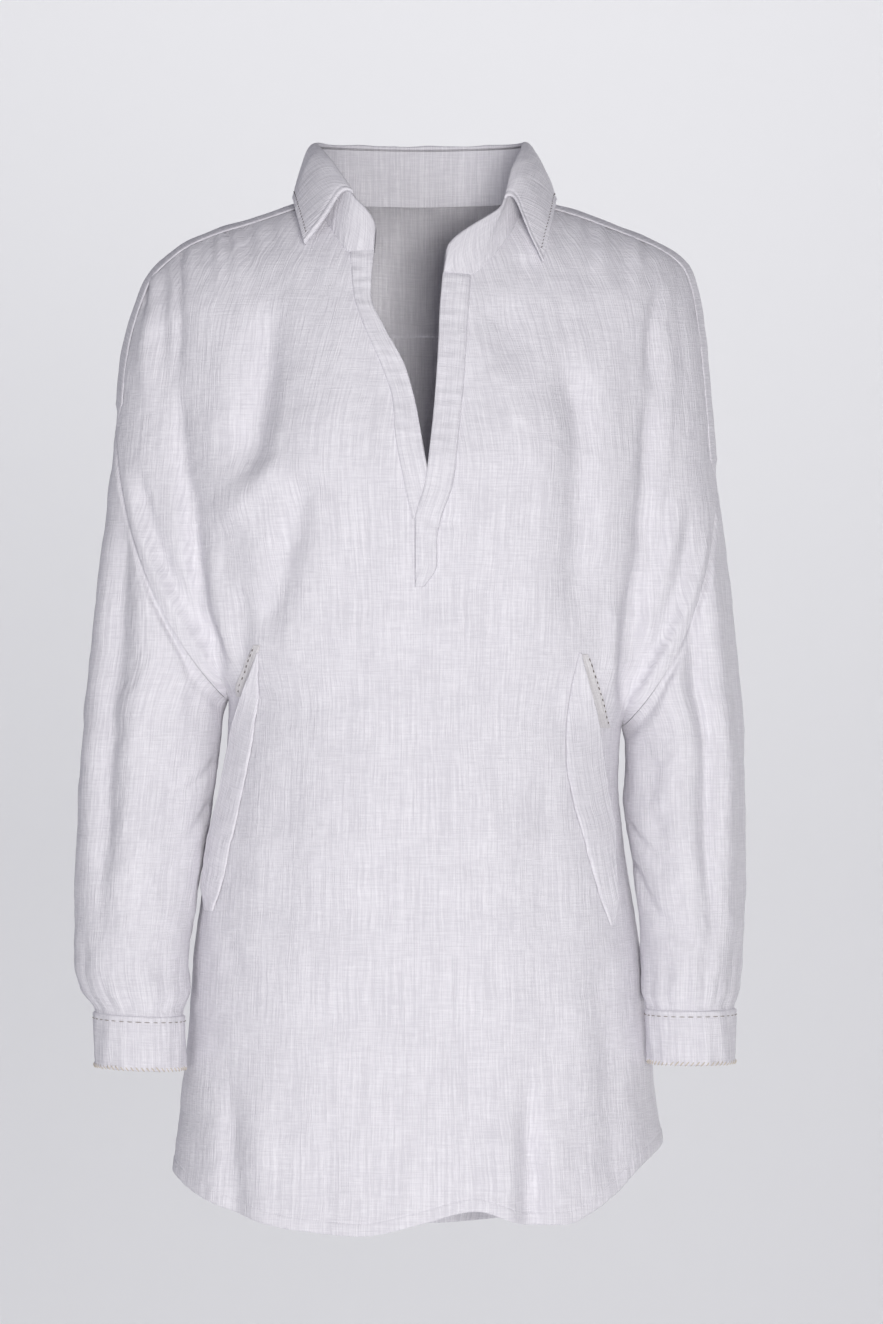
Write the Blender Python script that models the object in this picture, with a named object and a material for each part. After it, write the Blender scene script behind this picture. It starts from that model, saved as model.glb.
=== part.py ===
"""Linen tunic top in its worn, hollow form, one named cloth solid for each sewn piece.

Frame: metres, +Z up, the front faces -Y. The origin is on the centre line at the height of the
shoulders beside the neck, where the wearer holds the garment up. Left and right are the wearer's,
so the left side is +X. Tables and sizes below are in millimetres.
"""
import math
from collections import namedtuple

import bpy
import numpy as np
from mathutils import Vector
from mathutils.bvhtree import BVHTree

MM = 0.001
# Thickness of the cloth and of a doubled cuff, and the gaps that keep solids apart: between two
# edges of a seam, and below a piece that lies on another.
WALL = 1.6
CUFF_WALL = 2.2
GAP = 0.3
LYING_GAP = 1.0
# Least cosine between the directions of two edges that still share one at their seam.
SAME_WAY = 0.3
FRONT, BACK = -1, 1
RIGHT, LEFT = -1, 1
SIDE_NAME = {RIGHT: "right", LEFT: "left"}

CLOTH = ("linen", (0.80, 0.79, 0.83, 1.0))
FACING_CLOTH = ("linen_facing", (0.74, 0.73, 0.77, 1.0))

# Horizontal sections of the body: half widths to each side, reach to the front and to the back.
BodySlice = namedtuple("BodySlice", "z right left front back")
BODY = [
    BodySlice(30, 200, 200, 100, 100),
    BodySlice(-60, 200, 200, 101, 100),
    BodySlice(-150, 196, 196, 110, 106),
    BodySlice(-210, 190, 192, 118, 108),
    BodySlice(-300, 180, 184, 114, 106),
    BodySlice(-350, 170, 178, 113, 105),
    BodySlice(-387, 150, 166, 112, 105),
    BodySlice(-408, 150, 158, 112, 106),
    BodySlice(-450, 156, 155.5, 114, 108),
    BodySlice(-500, 164.5, 160, 115, 110),
    BodySlice(-545, 171.5, 167, 115, 112),
    BodySlice(-590, 177.5, 174, 116, 113),
    BodySlice(-640, 181, 179, 116, 114),
    BodySlice(-690, 186, 184, 117, 116),
    BodySlice(-760, 194, 194, 119, 118),
    BodySlice(-830, 200, 200, 121, 120),
]
BODY_ROUND = 2.4

# Horizontal sections of the arms: outer and inner distance from the centre line, front and back Y.
ArmSlice = namedtuple("ArmSlice", "z outer inner front back")
ARM = {
    RIGHT: [
        ArmSlice(0, 216, 100, -46, 54),
        ArmSlice(-53, 226, 108, -49, 56),
        ArmSlice(-108, 233, 120, -53, 56),
        ArmSlice(-160, 238, 132, -55, 55),
        ArmSlice(-230, 245, 140, -57, 54),
        ArmSlice(-306, 254, 138, -58, 54),
        ArmSlice(-350, 258, 134, -58, 53),
        ArmSlice(-387, 262, 150, -58, 52),
        ArmSlice(-400, 263, 154, -59, 50),
        ArmSlice(-424, 264.5, 156, -62, 43),
        ArmSlice(-462, 266.5, 161, -66, 35),
        ArmSlice(-530, 268.5, 171.5, -76, 20),
        ArmSlice(-589, 268.5, 179, -84, 6),
        ArmSlice(-611, 263, 178, -88, -2),
        ArmSlice(-628, 251, 183, -86, -18),
        ArmSlice(-673, 249.5, 182, -90, -24),
    ],
    LEFT: [
        ArmSlice(0, 208, 96, -46, 54),
        ArmSlice(-64, 219, 106, -49, 56),
        ArmSlice(-123, 226, 116, -53, 56),
        ArmSlice(-200, 232, 128, -56, 55),
        ArmSlice(-277, 241, 140, -57, 54),
        ArmSlice(-330, 247, 142, -58, 54),
        ArmSlice(-370, 251, 143, -58, 53),
        ArmSlice(-408, 253.6, 159, -58, 52),
        ArmSlice(-421, 254, 161, -60, 48),
        ArmSlice(-469, 254.5, 160, -66, 34),
        ArmSlice(-529, 253.6, 167.5, -76, 20),
        ArmSlice(-582, 251, 172, -84, 6),
        ArmSlice(-611, 248, 172, -88, -2),
        ArmSlice(-625, 243.5, 175.5, -86, -18),
        ArmSlice(-672, 242.5, 178, -90, -24),
    ],
}

# The shoulder line as seen from the front, from the centre out over the arm to the armhole.
RidgePoint = namedtuple("RidgePoint", "x z")
RIDGE = {
    RIGHT: [
        RidgePoint(0, 22), RidgePoint(60, 14), RidgePoint(97, 2.5), RidgePoint(133, -9.4),
        RidgePoint(159, -17.3), RidgePoint(184.5, -28.3), RidgePoint(198, -38),
        RidgePoint(213.5, -53.4), RidgePoint(225, -81), RidgePoint(232.4, -108),
        RidgePoint(236.3, -136), RidgePoint(237.5, -159),
    ],
    LEFT: [
        RidgePoint(0, 22), RidgePoint(60, 14), RidgePoint(104, 2.5), RidgePoint(126, -4),
        RidgePoint(145, -11), RidgePoint(169, -20.4), RidgePoint(191, -30),
        RidgePoint(209.6, -44), RidgePoint(218, -64), RidgePoint(222, -88),
        RidgePoint(226, -123), RidgePoint(229, -160), RidgePoint(232, -203),
    ],
}
RIDGE_Y = 8
RIDGE_Y_LOW, RIDGE_Y_HIGH = -250, -50
# Radius of the rounding over the shoulder line, and where it changes from one to the other.
RIDGE_RADIUS_AT_NECK, RIDGE_RADIUS_AT_ARM, RIDGE_RADIUS_BACK = 150, 50, 100
ROUNDING_FROM_X, ROUNDING_TO_X = 100, 215

# Armhole seams, each a curve from the shoulder line through a bend down to the underarm,
# which lies on the side seam.
Point = namedtuple("Point", "x z")
ARMHOLE = {
    RIGHT: (Point(-237.5, -159), Point(-232, -297)),
    LEFT: (Point(232, -203), Point(230, -330)),
}
UNDERARM_Z = {RIGHT: -387, LEFT: -408}
BLEND = 16
BLEND_HEIGHT = 45

# Seams and edges of the slit at the neck, by height.
SlitRow = namedtuple("SlitRow", "z right_seam right_edge left_edge left_seam")
SLIT = [
    SlitRow(-30, -53, -33, 22, 40),
    SlitRow(-45, -52, -35, 20, 39),
    SlitRow(-75, -49, -37, 16, 37),
    SlitRow(-100, -41, -27, 15, 35),
    SlitRow(-130, -28, -11, 13.5, 33.5),
    SlitRow(-158, -19, -3, 11.5, 31),
    SlitRow(-185, -17, 2, 9, 28),
    SlitRow(-207, -13, 6, 6, 26.5),
    SlitRow(-230, -8.5, 11, 3, 22),
    SlitRow(-248, -4, 14, -3, 15),
]
SLIT_BOTTOM_Z = -248
SLIT_BOTTOM = (-4, 14)
TAIL_BOTTOM_Z = -300
TAIL_WIDTH, TAIL_WIDTH_LOW = 18, 8
TAIL_INSET = 1
BAND_OVERLAP = 2

# The neckline where the stand is sewn on: right front, then left front; the back lies level.
NECK_FRONT = {
    RIGHT: [Point(-52, -40), Point(-67, -22), Point(-82, 7)],
    LEFT: [Point(39, -58), Point(64, -34), Point(84, 7)],
}
NECK_BACK_Z = 7

# Lower edges of the front and the back.
HEM = {
    FRONT: [
        Point(-194, -753), Point(-170, -768), Point(-144, -778), Point(-95, -790),
        Point(-45, -794), Point(0, -785), Point(43, -775), Point(85, -786), Point(110, -786),
        Point(150, -766), Point(172, -745), Point(192, -731),
    ],
    BACK: [
        Point(-194, -753), Point(-150, -790), Point(-95, -806), Point(0, -811),
        Point(80, -804), Point(150, -782), Point(192, -731),
    ],
}

# The yoke's seam across the back.
YOKE_SEAM = [
    Point(0, -95), Point(80, -97), Point(140, -106), Point(185, -128), Point(212, -165),
]
YOKE_LIP = 4
ARMHOLE_START_FRONT = 0.03
ARMHOLE_START_BACK = 0.32

# The largest folds: troughs are negative, ridges positive. Each follows three points.
Fold = namedtuple("Fold", "face x1 z1 x2 z2 x3 z3 width height")
FOLDS = [
    Fold(FRONT, -112, -85, -122, -150, -140, -215, 22, -7),
    Fold(FRONT, -86, -220, -98, -300, -116, -350, 24, -6),
    Fold(FRONT, 106, -130, 124, -190, 122, -300, 24, -6),
    Fold(FRONT, -70, -165, -72, -185, -74, -200, 34, 6),
    Fold(FRONT, 82, -170, 84, -190, 86, -205, 34, 6),
    Fold(FRONT, -146, -650, -147, -720, -148, -785, 20, -6),
    Fold(FRONT, 84, -660, 86, -730, 87, -800, 18, -8),
    Fold(FRONT, 66, -690, 66, -740, 66, -800, 16, 6),
    Fold(BACK, -96, -120, -110, -260, -96, -400, 26, -7),
    Fold(BACK, 92, -130, 104, -250, 100, -380, 26, -7),
    Fold(BACK, -60, -560, -64, -680, -66, -811, 26, -7),
    Fold(BACK, 70, -600, 74, -700, 78, -811, 24, -7),
]

# The cuffs: height of their tops, their own height, and how far they slope across the arm.
CUFF_TOP_Z = {RIGHT: -628.5, LEFT: -624.5}
CUFF_HEIGHT = 42
CUFF_TILT = {RIGHT: -0.045, LEFT: 0.0}

# Curved welts of the hip pockets: the sewn edge and the free edge, by height.
WeltRow = namedtuple("WeltRow", "z seam edge")
WELT = {
    LEFT: [
        WeltRow(-350, 122, 124), WeltRow(-372, 117, 127.5), WeltRow(-400, 113, 134),
        WeltRow(-430, 112, 138), WeltRow(-460, 117, 142), WeltRow(-490, 125, 147),
        WeltRow(-520, 133, 148), WeltRow(-545, 141, 150), WeltRow(-560, 147, 151),
    ],
    RIGHT: [
        WeltRow(-350, -123, -125), WeltRow(-372, -123, -131), WeltRow(-400, -126, -139),
        WeltRow(-430, -130, -145), WeltRow(-460, -137, -151), WeltRow(-490, -143, -158),
        WeltRow(-515, -149, -163), WeltRow(-535, -154, -165.5), WeltRow(-550, -159, -166),
    ],
}
# How far a welt stands off the front at its middle and at its free edge.
WELT_MIDDLE, WELT_MOUTH = 2.5, 4.5
FACING_LIFT = 1.6
FACING_ROWS = 8

# Facing strips beside the pocket mouths: inner and outer edge, by height.
FacingRow = namedtuple("FacingRow", "z inner outer")
FACING = {
    LEFT: [
        FacingRow(-351, 126, 129), FacingRow(-372, 130, 137), FacingRow(-392, 136, 142.5),
        FacingRow(-408, 139, 147),
    ],
    RIGHT: [
        FacingRow(-344, -125, -128), FacingRow(-360, -130, -137), FacingRow(-376, -134.5, -142),
        FacingRow(-384, -137, -142),
    ],
}

# Roll line and outer edge of the collar leaf. Edge points lie over the cloth on the face given.
CollarStation = namedtuple("CollarStation", "roll_x roll_y roll_z edge_x edge_z face")
COLLAR = [
    CollarStation(-50, -66, 2, -88, -40, FRONT),
    CollarStation(-61, -48, 20, -94, -17, FRONT),
    CollarStation(-74, -18, 38, -97, -1.5, FRONT),
    CollarStation(-79, 8, 46, -99, 2, BACK),
    CollarStation(-66, 40, 49, -84, -4, BACK),
    CollarStation(-36, 60, 50, -46, -10, BACK),
    CollarStation(0, 66, 50, 0, -12, BACK),
    CollarStation(37, 60, 50, 48, -10, BACK),
    CollarStation(68, 40, 49, 88, -5, BACK),
    CollarStation(80, 8, 47, 105, 0, BACK),
    CollarStation(77, -18, 38, 105, -3, FRONT),
    CollarStation(70, -44, 20, 101, -26, FRONT),
    CollarStation(65, -62, -2, 95, -54, FRONT),
]
COLLAR_CLEARANCE = 4.5
# The leaf starts this far out from the stand's upper edge and above it, then bends over.
LEAF_START = (1.4, 2.4)
LEAF_BEND = (9, 7)
# The stand's front ends: their upper corners from their lower ones, and the overlap on the band.
STAND_END_RIGHT, STAND_END_LEFT = (2.0, 0.0, 26.0), (3.0, 0.0, 25.0)
STAND_FRONT_OVERLAP = 2

# How finely each piece is divided.
SHOULDER_COLUMNS = 5
NECK_FRONT_COLUMNS = 2
NECK_BACK_COLUMNS = 6
SLIT_ROWS = 7
ARMHOLE_ROWS_FRONT = 11
ARMHOLE_ROWS_BACK = 8
SIDE_ROWS = 13
YOKE_ROWS = 4
SLEEVE_RINGS = 15


def through(keys, values, at):
    """Smooth curve through (keys, values) that never overshoots, read at `at`."""
    keys, values = np.asarray(keys, float), np.asarray(values, float)
    step = np.diff(keys)
    slope = np.diff(values) / step
    before, after = slope[:-1], slope[1:]
    same_way = before * after > 0
    total = np.where(same_way, before + after, 1.0)
    tangent = np.concatenate(([slope[0]], np.where(same_way, 2 * before * after / total, 0), [slope[-1]]))
    at = np.clip(np.asarray(at, float), keys[0], keys[-1])
    i = np.clip(np.searchsorted(keys, at, side="right") - 1, 0, len(step) - 1)
    s = (at - keys[i]) / step[i]
    return ((1 + 2 * s) * (1 - s) ** 2 * values[i] + s * (1 - s) ** 2 * step[i] * tangent[i]
            + s * s * (3 - 2 * s) * values[i + 1] + s * s * (s - 1) * step[i] * tangent[i + 1])


def column(table, name, at, key="z"):
    """One named column of a table, read at `at` along its key column."""
    rows = sorted(table, key=lambda row: getattr(row, key))
    return through([getattr(row, key) for row in rows], [getattr(row, name) for row in rows], at)


def smooth_step(t):
    t = np.clip(t, 0, 1)
    return t * t * (3 - 2 * t)


def rounded(t):
    """Quarter circle: 0 with an upright tangent at t = 0, 1 from t = 1 on."""
    return np.sqrt(1 - (1 - np.clip(t, 0, 1)) ** 2)


def smooth_max(a, b, width):
    return (a + b + np.sqrt((a - b) ** 2 + width * width)) / 2


def fold_depth(x, z, face):
    """Sum of the folds of one face at (x, z)."""
    total = np.zeros(np.broadcast(x, z).shape)
    for fold in FOLDS:
        if fold.face != face:
            continue
        top, bottom = fold.z1, fold.z3
        line_x = through([fold.z3, fold.z2, fold.z1], [fold.x3, fold.x2, fold.x1], z)
        beyond = np.maximum(np.maximum(z - top, bottom - z), 0)
        distance = np.hypot(x - line_x, beyond * 0.6)
        total = total + fold.height * np.exp(-(distance / fold.width) ** 2)
    return total


def middle_y(z):
    """Y of the plane between the front and the back, which leans back at the shoulders."""
    return RIDGE_Y * smooth_step((z - RIDGE_Y_LOW) / (RIDGE_Y_HIGH - RIDGE_Y_LOW))


def arm_frame(side, z):
    """Centre and half width of an arm's section, then its middle and half depth."""
    outer, inner = column(ARM[side], "outer", z), column(ARM[side], "inner", z)
    front, back = column(ARM[side], "front", z), column(ARM[side], "back", z)
    return (outer + inner) / 2, (outer - inner) / 2, (front + back) / 2, (back - front) / 2


def arm_depth(side, x, z, face):
    """How far an arm's section reaches towards `face` at (x, z)."""
    centre, half_x, middle, half_y = arm_frame(side, z)
    across = np.clip(np.abs(x * side - centre) / half_x, 0, 1)
    return face * middle + half_y * np.sqrt(1 - across ** 2)


def skin(x, z, face):
    """Y of the cloth's outer side at (x, z), on the front or the back of the garment."""
    x, z = np.asarray(x, float), np.asarray(z, float)
    half = np.where(x < 0, column(BODY, "right", z), column(BODY, "left", z))
    inside = 1 - (np.abs(x) / half) ** BODY_ROUND
    depth = column(BODY, "front" if face == FRONT else "back", z)
    depth = depth * np.sign(inside) * np.abs(inside) ** (1 / BODY_ROUND)
    depth = depth + fold_depth(x, z, face) * np.clip(inside * 2, 0, 1)
    for side in (RIGHT, LEFT):
        above = z - UNDERARM_Z[side]
        blend = BLEND * smooth_step(above / BLEND_HEIGHT)
        joined = smooth_max(depth, arm_depth(side, x, z, face), blend)
        depth = np.where((above >= 0) & (x * side > 0), joined, np.maximum(depth, 0))
    ridge_z = np.where(x < 0, column(RIDGE[RIGHT], "z", -x, "x"), column(RIDGE[LEFT], "z", x, "x"))
    to_arm = smooth_step((np.abs(x) - ROUNDING_FROM_X) / (ROUNDING_TO_X - ROUNDING_FROM_X))
    radius = RIDGE_RADIUS_AT_NECK + (RIDGE_RADIUS_AT_ARM - RIDGE_RADIUS_AT_NECK) * to_arm
    if face == BACK:
        radius = np.minimum(radius, RIDGE_RADIUS_BACK)
    return middle_y(z) + face * depth * rounded((ridge_z - z) / radius)


def on_skin(points, face):
    points = np.asarray(points, float)
    return np.stack([points[..., 0], skin(points[..., 0], points[..., 1], face), points[..., 1]], -1)


def resample(points, count):
    """`count` + 1 points evenly spaced along a polyline."""
    points = np.asarray(points, float)
    length = np.concatenate(([0], np.cumsum(np.linalg.norm(np.diff(points, axis=0), axis=1))))
    at = np.linspace(0, length[-1], count + 1)
    return np.stack([np.interp(at, length, points[:, k]) for k in range(points.shape[1])], -1)


def underarm(side):
    z = UNDERARM_Z[side]
    return Point(side * float(column(BODY, SIDE_NAME[side], z)), z)


def armhole(side, a):
    """(x, z) on the armhole seam, a = 0 at the shoulder line and 1 at the underarm."""
    top, bend = ARMHOLE[side]
    under = underarm(side)
    a = np.asarray(a, float)
    x = (1 - a) ** 2 * top.x + 2 * a * (1 - a) * bend.x + a * a * under.x
    z = (1 - a) ** 2 * top.z + 2 * a * (1 - a) * bend.z + a * a * under.z
    return np.stack([x, z], -1)


def side_edge(side, start, armhole_rows):
    """(x, z) down the edge of a panel: the armhole, then the side seam to the hem."""
    upper = armhole(side, np.linspace(start, 1, armhole_rows + 1))
    hem_z = HEM[FRONT][0 if side == RIGHT else -1].z
    z = np.linspace(UNDERARM_Z[side], hem_z, SIDE_ROWS + 1)[1:]
    return np.concatenate([upper, np.stack([side * column(BODY, SIDE_NAME[side], z), z], -1)])


def half_panel(face, side, top, centre, start, armhole_rows):
    """Grid of (x, z), rows from the top down, columns from the centre out to one side."""
    edge = side_edge(side, start, armhole_rows)
    rows, columns = len(edge), len(top)
    even = np.linspace(0, 1, columns)
    crowded = 0.75 * np.sin(even * math.pi / 2) + 0.25 * even
    hem_x = centre[-1][0] + (edge[-1][0] - centre[-1][0]) * crowded
    hem = HEM[face]
    hem_z = through([point.x for point in hem], [point.z for point in hem], hem_x)
    grid = np.zeros((rows, columns, 2))
    for r in range(rows):
        v = r / (rows - 1)
        share = crowded + (even - crowded) * 0.7 * smooth_step((armhole_rows - r) / 3)
        grid[r] = centre[r] + (edge[r] - centre[r]) * share[:, None]
        grid[r] += (1 - v) ** 4 * (top - (centre[0] + (edge[0] - centre[0]) * share[:, None]))
        grid[r, :, 1] += v ** 3 * (hem_z - (centre[-1][1] + (edge[-1][1] - centre[-1][1]) * crowded))
        grid[r, -1] = edge[r]
    return grid


def ridge_points(side, count):
    """(x, z) along the shoulder line from the neck to the armhole, and the way in from it."""
    neck_x, end_x = abs(NECK_FRONT[side][-1].x), abs(ARMHOLE[side][0].x)
    x = np.linspace(neck_x, end_x, 200)
    line = np.stack([x, column(RIDGE[side], "z", x, "x")], -1)
    line[-1] = (end_x, ARMHOLE[side][0].z)
    line = resample(line, count)
    along = np.gradient(line, axis=0)
    along /= np.linalg.norm(along, axis=1)[:, None]
    inward = np.stack([along[:, 1], -along[:, 0]], -1)
    line[:, 0] *= side
    inward[:, 0] *= side
    return line, inward


def front_seam(side):
    """(x, z) of the yoke's front seam, from the neck to the armhole."""
    line, inward = ridge_points(side, SHOULDER_COLUMNS)
    seam = line + inward * YOKE_LIP
    seam[0] = line[0] + np.array([0, -YOKE_LIP])
    seam[-1] = armhole(side, ARMHOLE_START_FRONT)
    return seam


def front_top(side):
    """(x, z) along the front's upper edge, from the slit over the neckline to the armhole."""
    seam = front_seam(side)
    corner = slit_edge(SIDE_NAME[side] + "_seam", SLIT_ROWS)[0]
    neck = [tuple(corner)] + [tuple(point) for point in NECK_FRONT[side][1:-1]] + [tuple(seam[0])]
    return np.concatenate([resample(neck, NECK_FRONT_COLUMNS)[:-1], seam])


def slit_edge(name, rows):
    """(x, z) down one named edge of the slit, from the neckline to its bottom."""
    top_z = NECK_FRONT[RIGHT if name.startswith("right") else LEFT][0].z
    z = np.linspace(top_z, SLIT_BOTTOM_Z, rows + 1)
    return np.stack([column(SLIT, name, z), z], -1)


def centre_edge(side, rows):
    """(x, z) down the front's inner edge: the slit's seam, then near the centre to the hem."""
    seam = slit_edge(SIDE_NAME[side] + "_seam", SLIT_ROWS)
    seam[-1] = (SLIT_BOTTOM[0 if side == RIGHT else 1], SLIT_BOTTOM_Z)
    hem = HEM[FRONT]
    end_x = side * 9.0
    end_z = through([point.x for point in hem], [point.z for point in hem], end_x)
    lower = np.linspace(seam[-1], (end_x, end_z), rows - SLIT_ROWS + 1)[1:]
    return np.concatenate([seam, lower])


def grid_faces(rows, columns, skip=None, flip=False, closed=False):
    """Triangles of a grid of points; `skip` leaves cells out, `closed` joins the last column."""
    faces = []
    for r in range(rows - 1):
        for c in range(columns if closed else columns - 1):
            if skip and skip(r, c):
                continue
            d = (c + 1) % columns
            a, b = r * columns + c, (r + 1) * columns + c
            e, f = (r + 1) * columns + d, r * columns + d
            pair = [(a, b, e), (a, e, f)]
            faces += [triangle[::-1] for triangle in pair] if flip else pair
    return faces


class Piece:
    """Outer side of one piece of cloth, as points and triangles facing out."""

    def __init__(self, name, points, faces, wall=WALL, cloth=CLOTH, sewn=True):
        self.name, self.wall, self.cloth, self.sewn = name, wall, cloth, sewn
        points = np.asarray(points, float).reshape(-1, 3)
        used = sorted({i for face in faces for i in face})
        place = {old: new for new, old in enumerate(used)}
        self.points = points[used]
        self.faces = [tuple(place[i] for i in face) for face in faces]
        self.normals = self.own_normals()

    def own_normals(self):
        total = np.zeros_like(self.points)
        for face in self.faces:
            a, b, c = self.points[list(face)]
            total[list(face)] += np.cross(b - a, c - a)
        return total / np.linalg.norm(total, axis=1)[:, None]

    def rim(self):
        edges = {}
        for face in self.faces:
            for a, b in zip(face, face[1:] + face[:1]):
                edges[(a, b)] = face
        return {edge: face for edge, face in edges.items() if edge[::-1] not in edges}

    def drawn_in(self):
        """Points with the rim moved in by half a seam's gap."""
        moved = np.zeros_like(self.points)
        for (a, b), face in self.rim().items():
            along = self.points[b] - self.points[a]
            corners = self.points[list(face)]
            inside = np.cross(np.cross(corners[1] - corners[0], corners[2] - corners[0]), along)
            inside /= np.linalg.norm(inside)
            moved[a] += inside
            moved[b] += inside
        length = np.linalg.norm(moved, axis=1)[:, None]
        return self.points + np.where(length > 0.2, moved / np.maximum(length, 0.2), 0) * GAP / 2 * 1.3

    def build(self):
        outer = self.drawn_in()
        inner = outer - self.normals * self.wall
        count = len(outer)
        faces = list(self.faces) + [tuple(i + count for i in face[::-1]) for face in self.faces]
        for a, b in self.rim():
            faces += [(b, a, a + count), (b, a + count, b + count)]
        mesh = bpy.data.meshes.new(self.name)
        mesh.from_pydata([tuple(point * MM) for point in np.concatenate([outer, inner])], [], faces)
        mesh.materials.append(material(*self.cloth))
        thing = bpy.data.objects.new(self.name, mesh)
        bpy.context.scene.collection.objects.link(thing)


def share_normals(pieces):
    """Give pieces that meet at a seam the same direction there, so their edges stay parallel."""
    meeting = {}
    for piece in pieces:
        for point, normal in zip(piece.points, piece.normals.copy()):
            meeting.setdefault(tuple(np.round(point, 2)), []).append(normal)
    for piece in pieces:
        for i, point in enumerate(piece.points):
            own = piece.normals[i]
            total = sum(n for n in meeting[tuple(np.round(point, 2))] if n @ own > SAME_WAY)
            piece.normals[i] = total / np.linalg.norm(total)


def material(name, colour):
    found = bpy.data.materials.get(name)
    if found:
        return found
    made = bpy.data.materials.new(name)
    made.use_nodes = True
    shader = made.node_tree.nodes["Principled BSDF"]
    shader.inputs["Base Color"].default_value = colour
    shader.inputs["Roughness"].default_value = 0.9
    shader.inputs["Metallic"].default_value = 0.0
    return made


def front_grid():
    """The whole front as one grid: right half, two columns at the centre, left half."""
    rows = ARMHOLE_ROWS_FRONT + SIDE_ROWS + 1
    halves = {}
    for side in (RIGHT, LEFT):
        grid = half_panel(FRONT, side, front_top(side), centre_edge(side, rows - 1),
                          ARMHOLE_START_FRONT, ARMHOLE_ROWS_FRONT)
        halves[side] = grid
    right, left = halves[RIGHT][:, ::-1], halves[LEFT]
    between = (right[:, -1:] + left[:, :1]) / 2
    grid = np.concatenate([right, between, left], axis=1)
    return on_skin(grid, FRONT), right.shape[1]


def build_front():
    points, half = front_grid()
    rows, columns = points.shape[:2]
    slit = lambda r, c: r < SLIT_ROWS and half - 1 <= c <= half
    whole = Piece("whole_front", points, grid_faces(rows, columns), sewn=False)
    return Piece("front", points, grid_faces(rows, columns, skip=slit)), whole


def yoke_seam(side):
    """(x, z) of the yoke's seam across the back, from the centre to the armhole."""
    end = armhole(side, ARMHOLE_START_BACK)
    path = [(side * point.x, point.z) for point in YOKE_SEAM] + [tuple(end)]
    inner = resample(path, 60)
    columns = NECK_BACK_COLUMNS // 2 + SHOULDER_COLUMNS
    return resample(inner, columns)


def build_back():
    rows = ARMHOLE_ROWS_BACK + SIDE_ROWS + 1
    halves = {}
    hem = HEM[BACK]
    end_z = through([point.x for point in hem], [point.z for point in hem], 0)
    centre = np.linspace((0, YOKE_SEAM[0].z), (0, end_z), rows)
    for side in (RIGHT, LEFT):
        halves[side] = half_panel(BACK, side, yoke_seam(side), centre,
                                  ARMHOLE_START_BACK, ARMHOLE_ROWS_BACK)
    grid = np.concatenate([halves[RIGHT][:, ::-1], halves[LEFT][:, 1:]], axis=1)
    points = on_skin(grid, BACK)
    return Piece("back", points, grid_faces(*points.shape[:2], flip=True))


def half_yoke(side):
    """Points of half the yoke, rows from the front seam over the shoulder, columns outwards."""
    ridge = ridge_points(side, SHOULDER_COLUMNS)[0]
    neck_columns = NECK_BACK_COLUMNS // 2
    neck_x = np.linspace(0, ridge[0][0], neck_columns + 1)[:-1]
    top = np.concatenate([np.stack([neck_x, np.full(neck_columns, NECK_BACK_Z)], -1), ridge])
    bottom = yoke_seam(side)
    share = 1 - np.cos(np.linspace(0, math.pi / 2, YOKE_ROWS + 1))
    share = 0.5 * share + 0.5 * np.linspace(0, 1, YOKE_ROWS + 1)
    rows = []
    for s in share:
        row = top + (bottom - top) * s
        row[-1] = armhole(side, ARMHOLE_START_BACK * s)
        rows.append(on_skin(row, BACK))
    rows[0][neck_columns:, 1] = middle_y(rows[0][neck_columns:, 2])
    lip = np.full_like(rows[0], np.nan)
    lip[neck_columns:] = on_skin(front_seam(side), FRONT)
    return np.stack([lip] + rows)


def build_yoke():
    right, left = half_yoke(RIGHT)[:, ::-1], half_yoke(LEFT)[:, 1:]
    points = np.concatenate([right, left], axis=1)
    missing = lambda r, c: r == 0 and bool(np.isnan(points[0, c:c + 2]).any())
    return Piece("yoke", points, grid_faces(*points.shape[:2], skip=missing, flip=True))


def armhole_loop(side):
    """Points round the armhole: down the front, up the back, over the yoke's end."""
    front = on_skin(armhole(side, np.linspace(ARMHOLE_START_FRONT, 1, ARMHOLE_ROWS_FRONT + 1)), FRONT)
    back = on_skin(armhole(side, np.linspace(ARMHOLE_START_BACK, 1, ARMHOLE_ROWS_BACK + 1)), BACK)[::-1]
    yoke_end = half_yoke(side)[1:, -1][::-1]
    return np.concatenate([front, back[1:], yoke_end[1:]])


def arm_point(side, angle, z):
    """Point on an arm's section; the angle is 0 at the outer side and grows over the front."""
    centre, half_x, middle, half_y = arm_frame(side, z)
    return np.stack([side * (centre + half_x * np.cos(angle)), middle - half_y * np.sin(angle), z], -1)


def cuff_z(side, angle, top):
    centre, half_x = arm_frame(side, CUFF_TOP_Z[side])[:2]
    return top + CUFF_TILT[side] * side * half_x * np.cos(angle)


def sleeve_angles(side):
    """Angles round the armhole loop as it lies, and as they are at the cuff."""
    loop = armhole_loop(side)
    centre, half_x, middle, half_y = arm_frame(side, loop[:, 2])
    lying = np.arctan2((middle - loop[:, 1]) / half_y, (loop[:, 0] * side - centre) / half_x)
    lying = np.where(lying < -0.01, lying + 2 * math.pi, lying)
    inner = ARMHOLE_ROWS_FRONT
    lying[inner] = math.pi
    lying[-1] = 2 * math.pi
    front = math.pi * (np.arange(inner + 1) + 1) / (inner + 1)
    behind = math.pi * (1 + np.arange(1, len(loop) - inner) / (len(loop) - inner - 1))
    return loop, lying, np.concatenate([front, behind])


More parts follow.
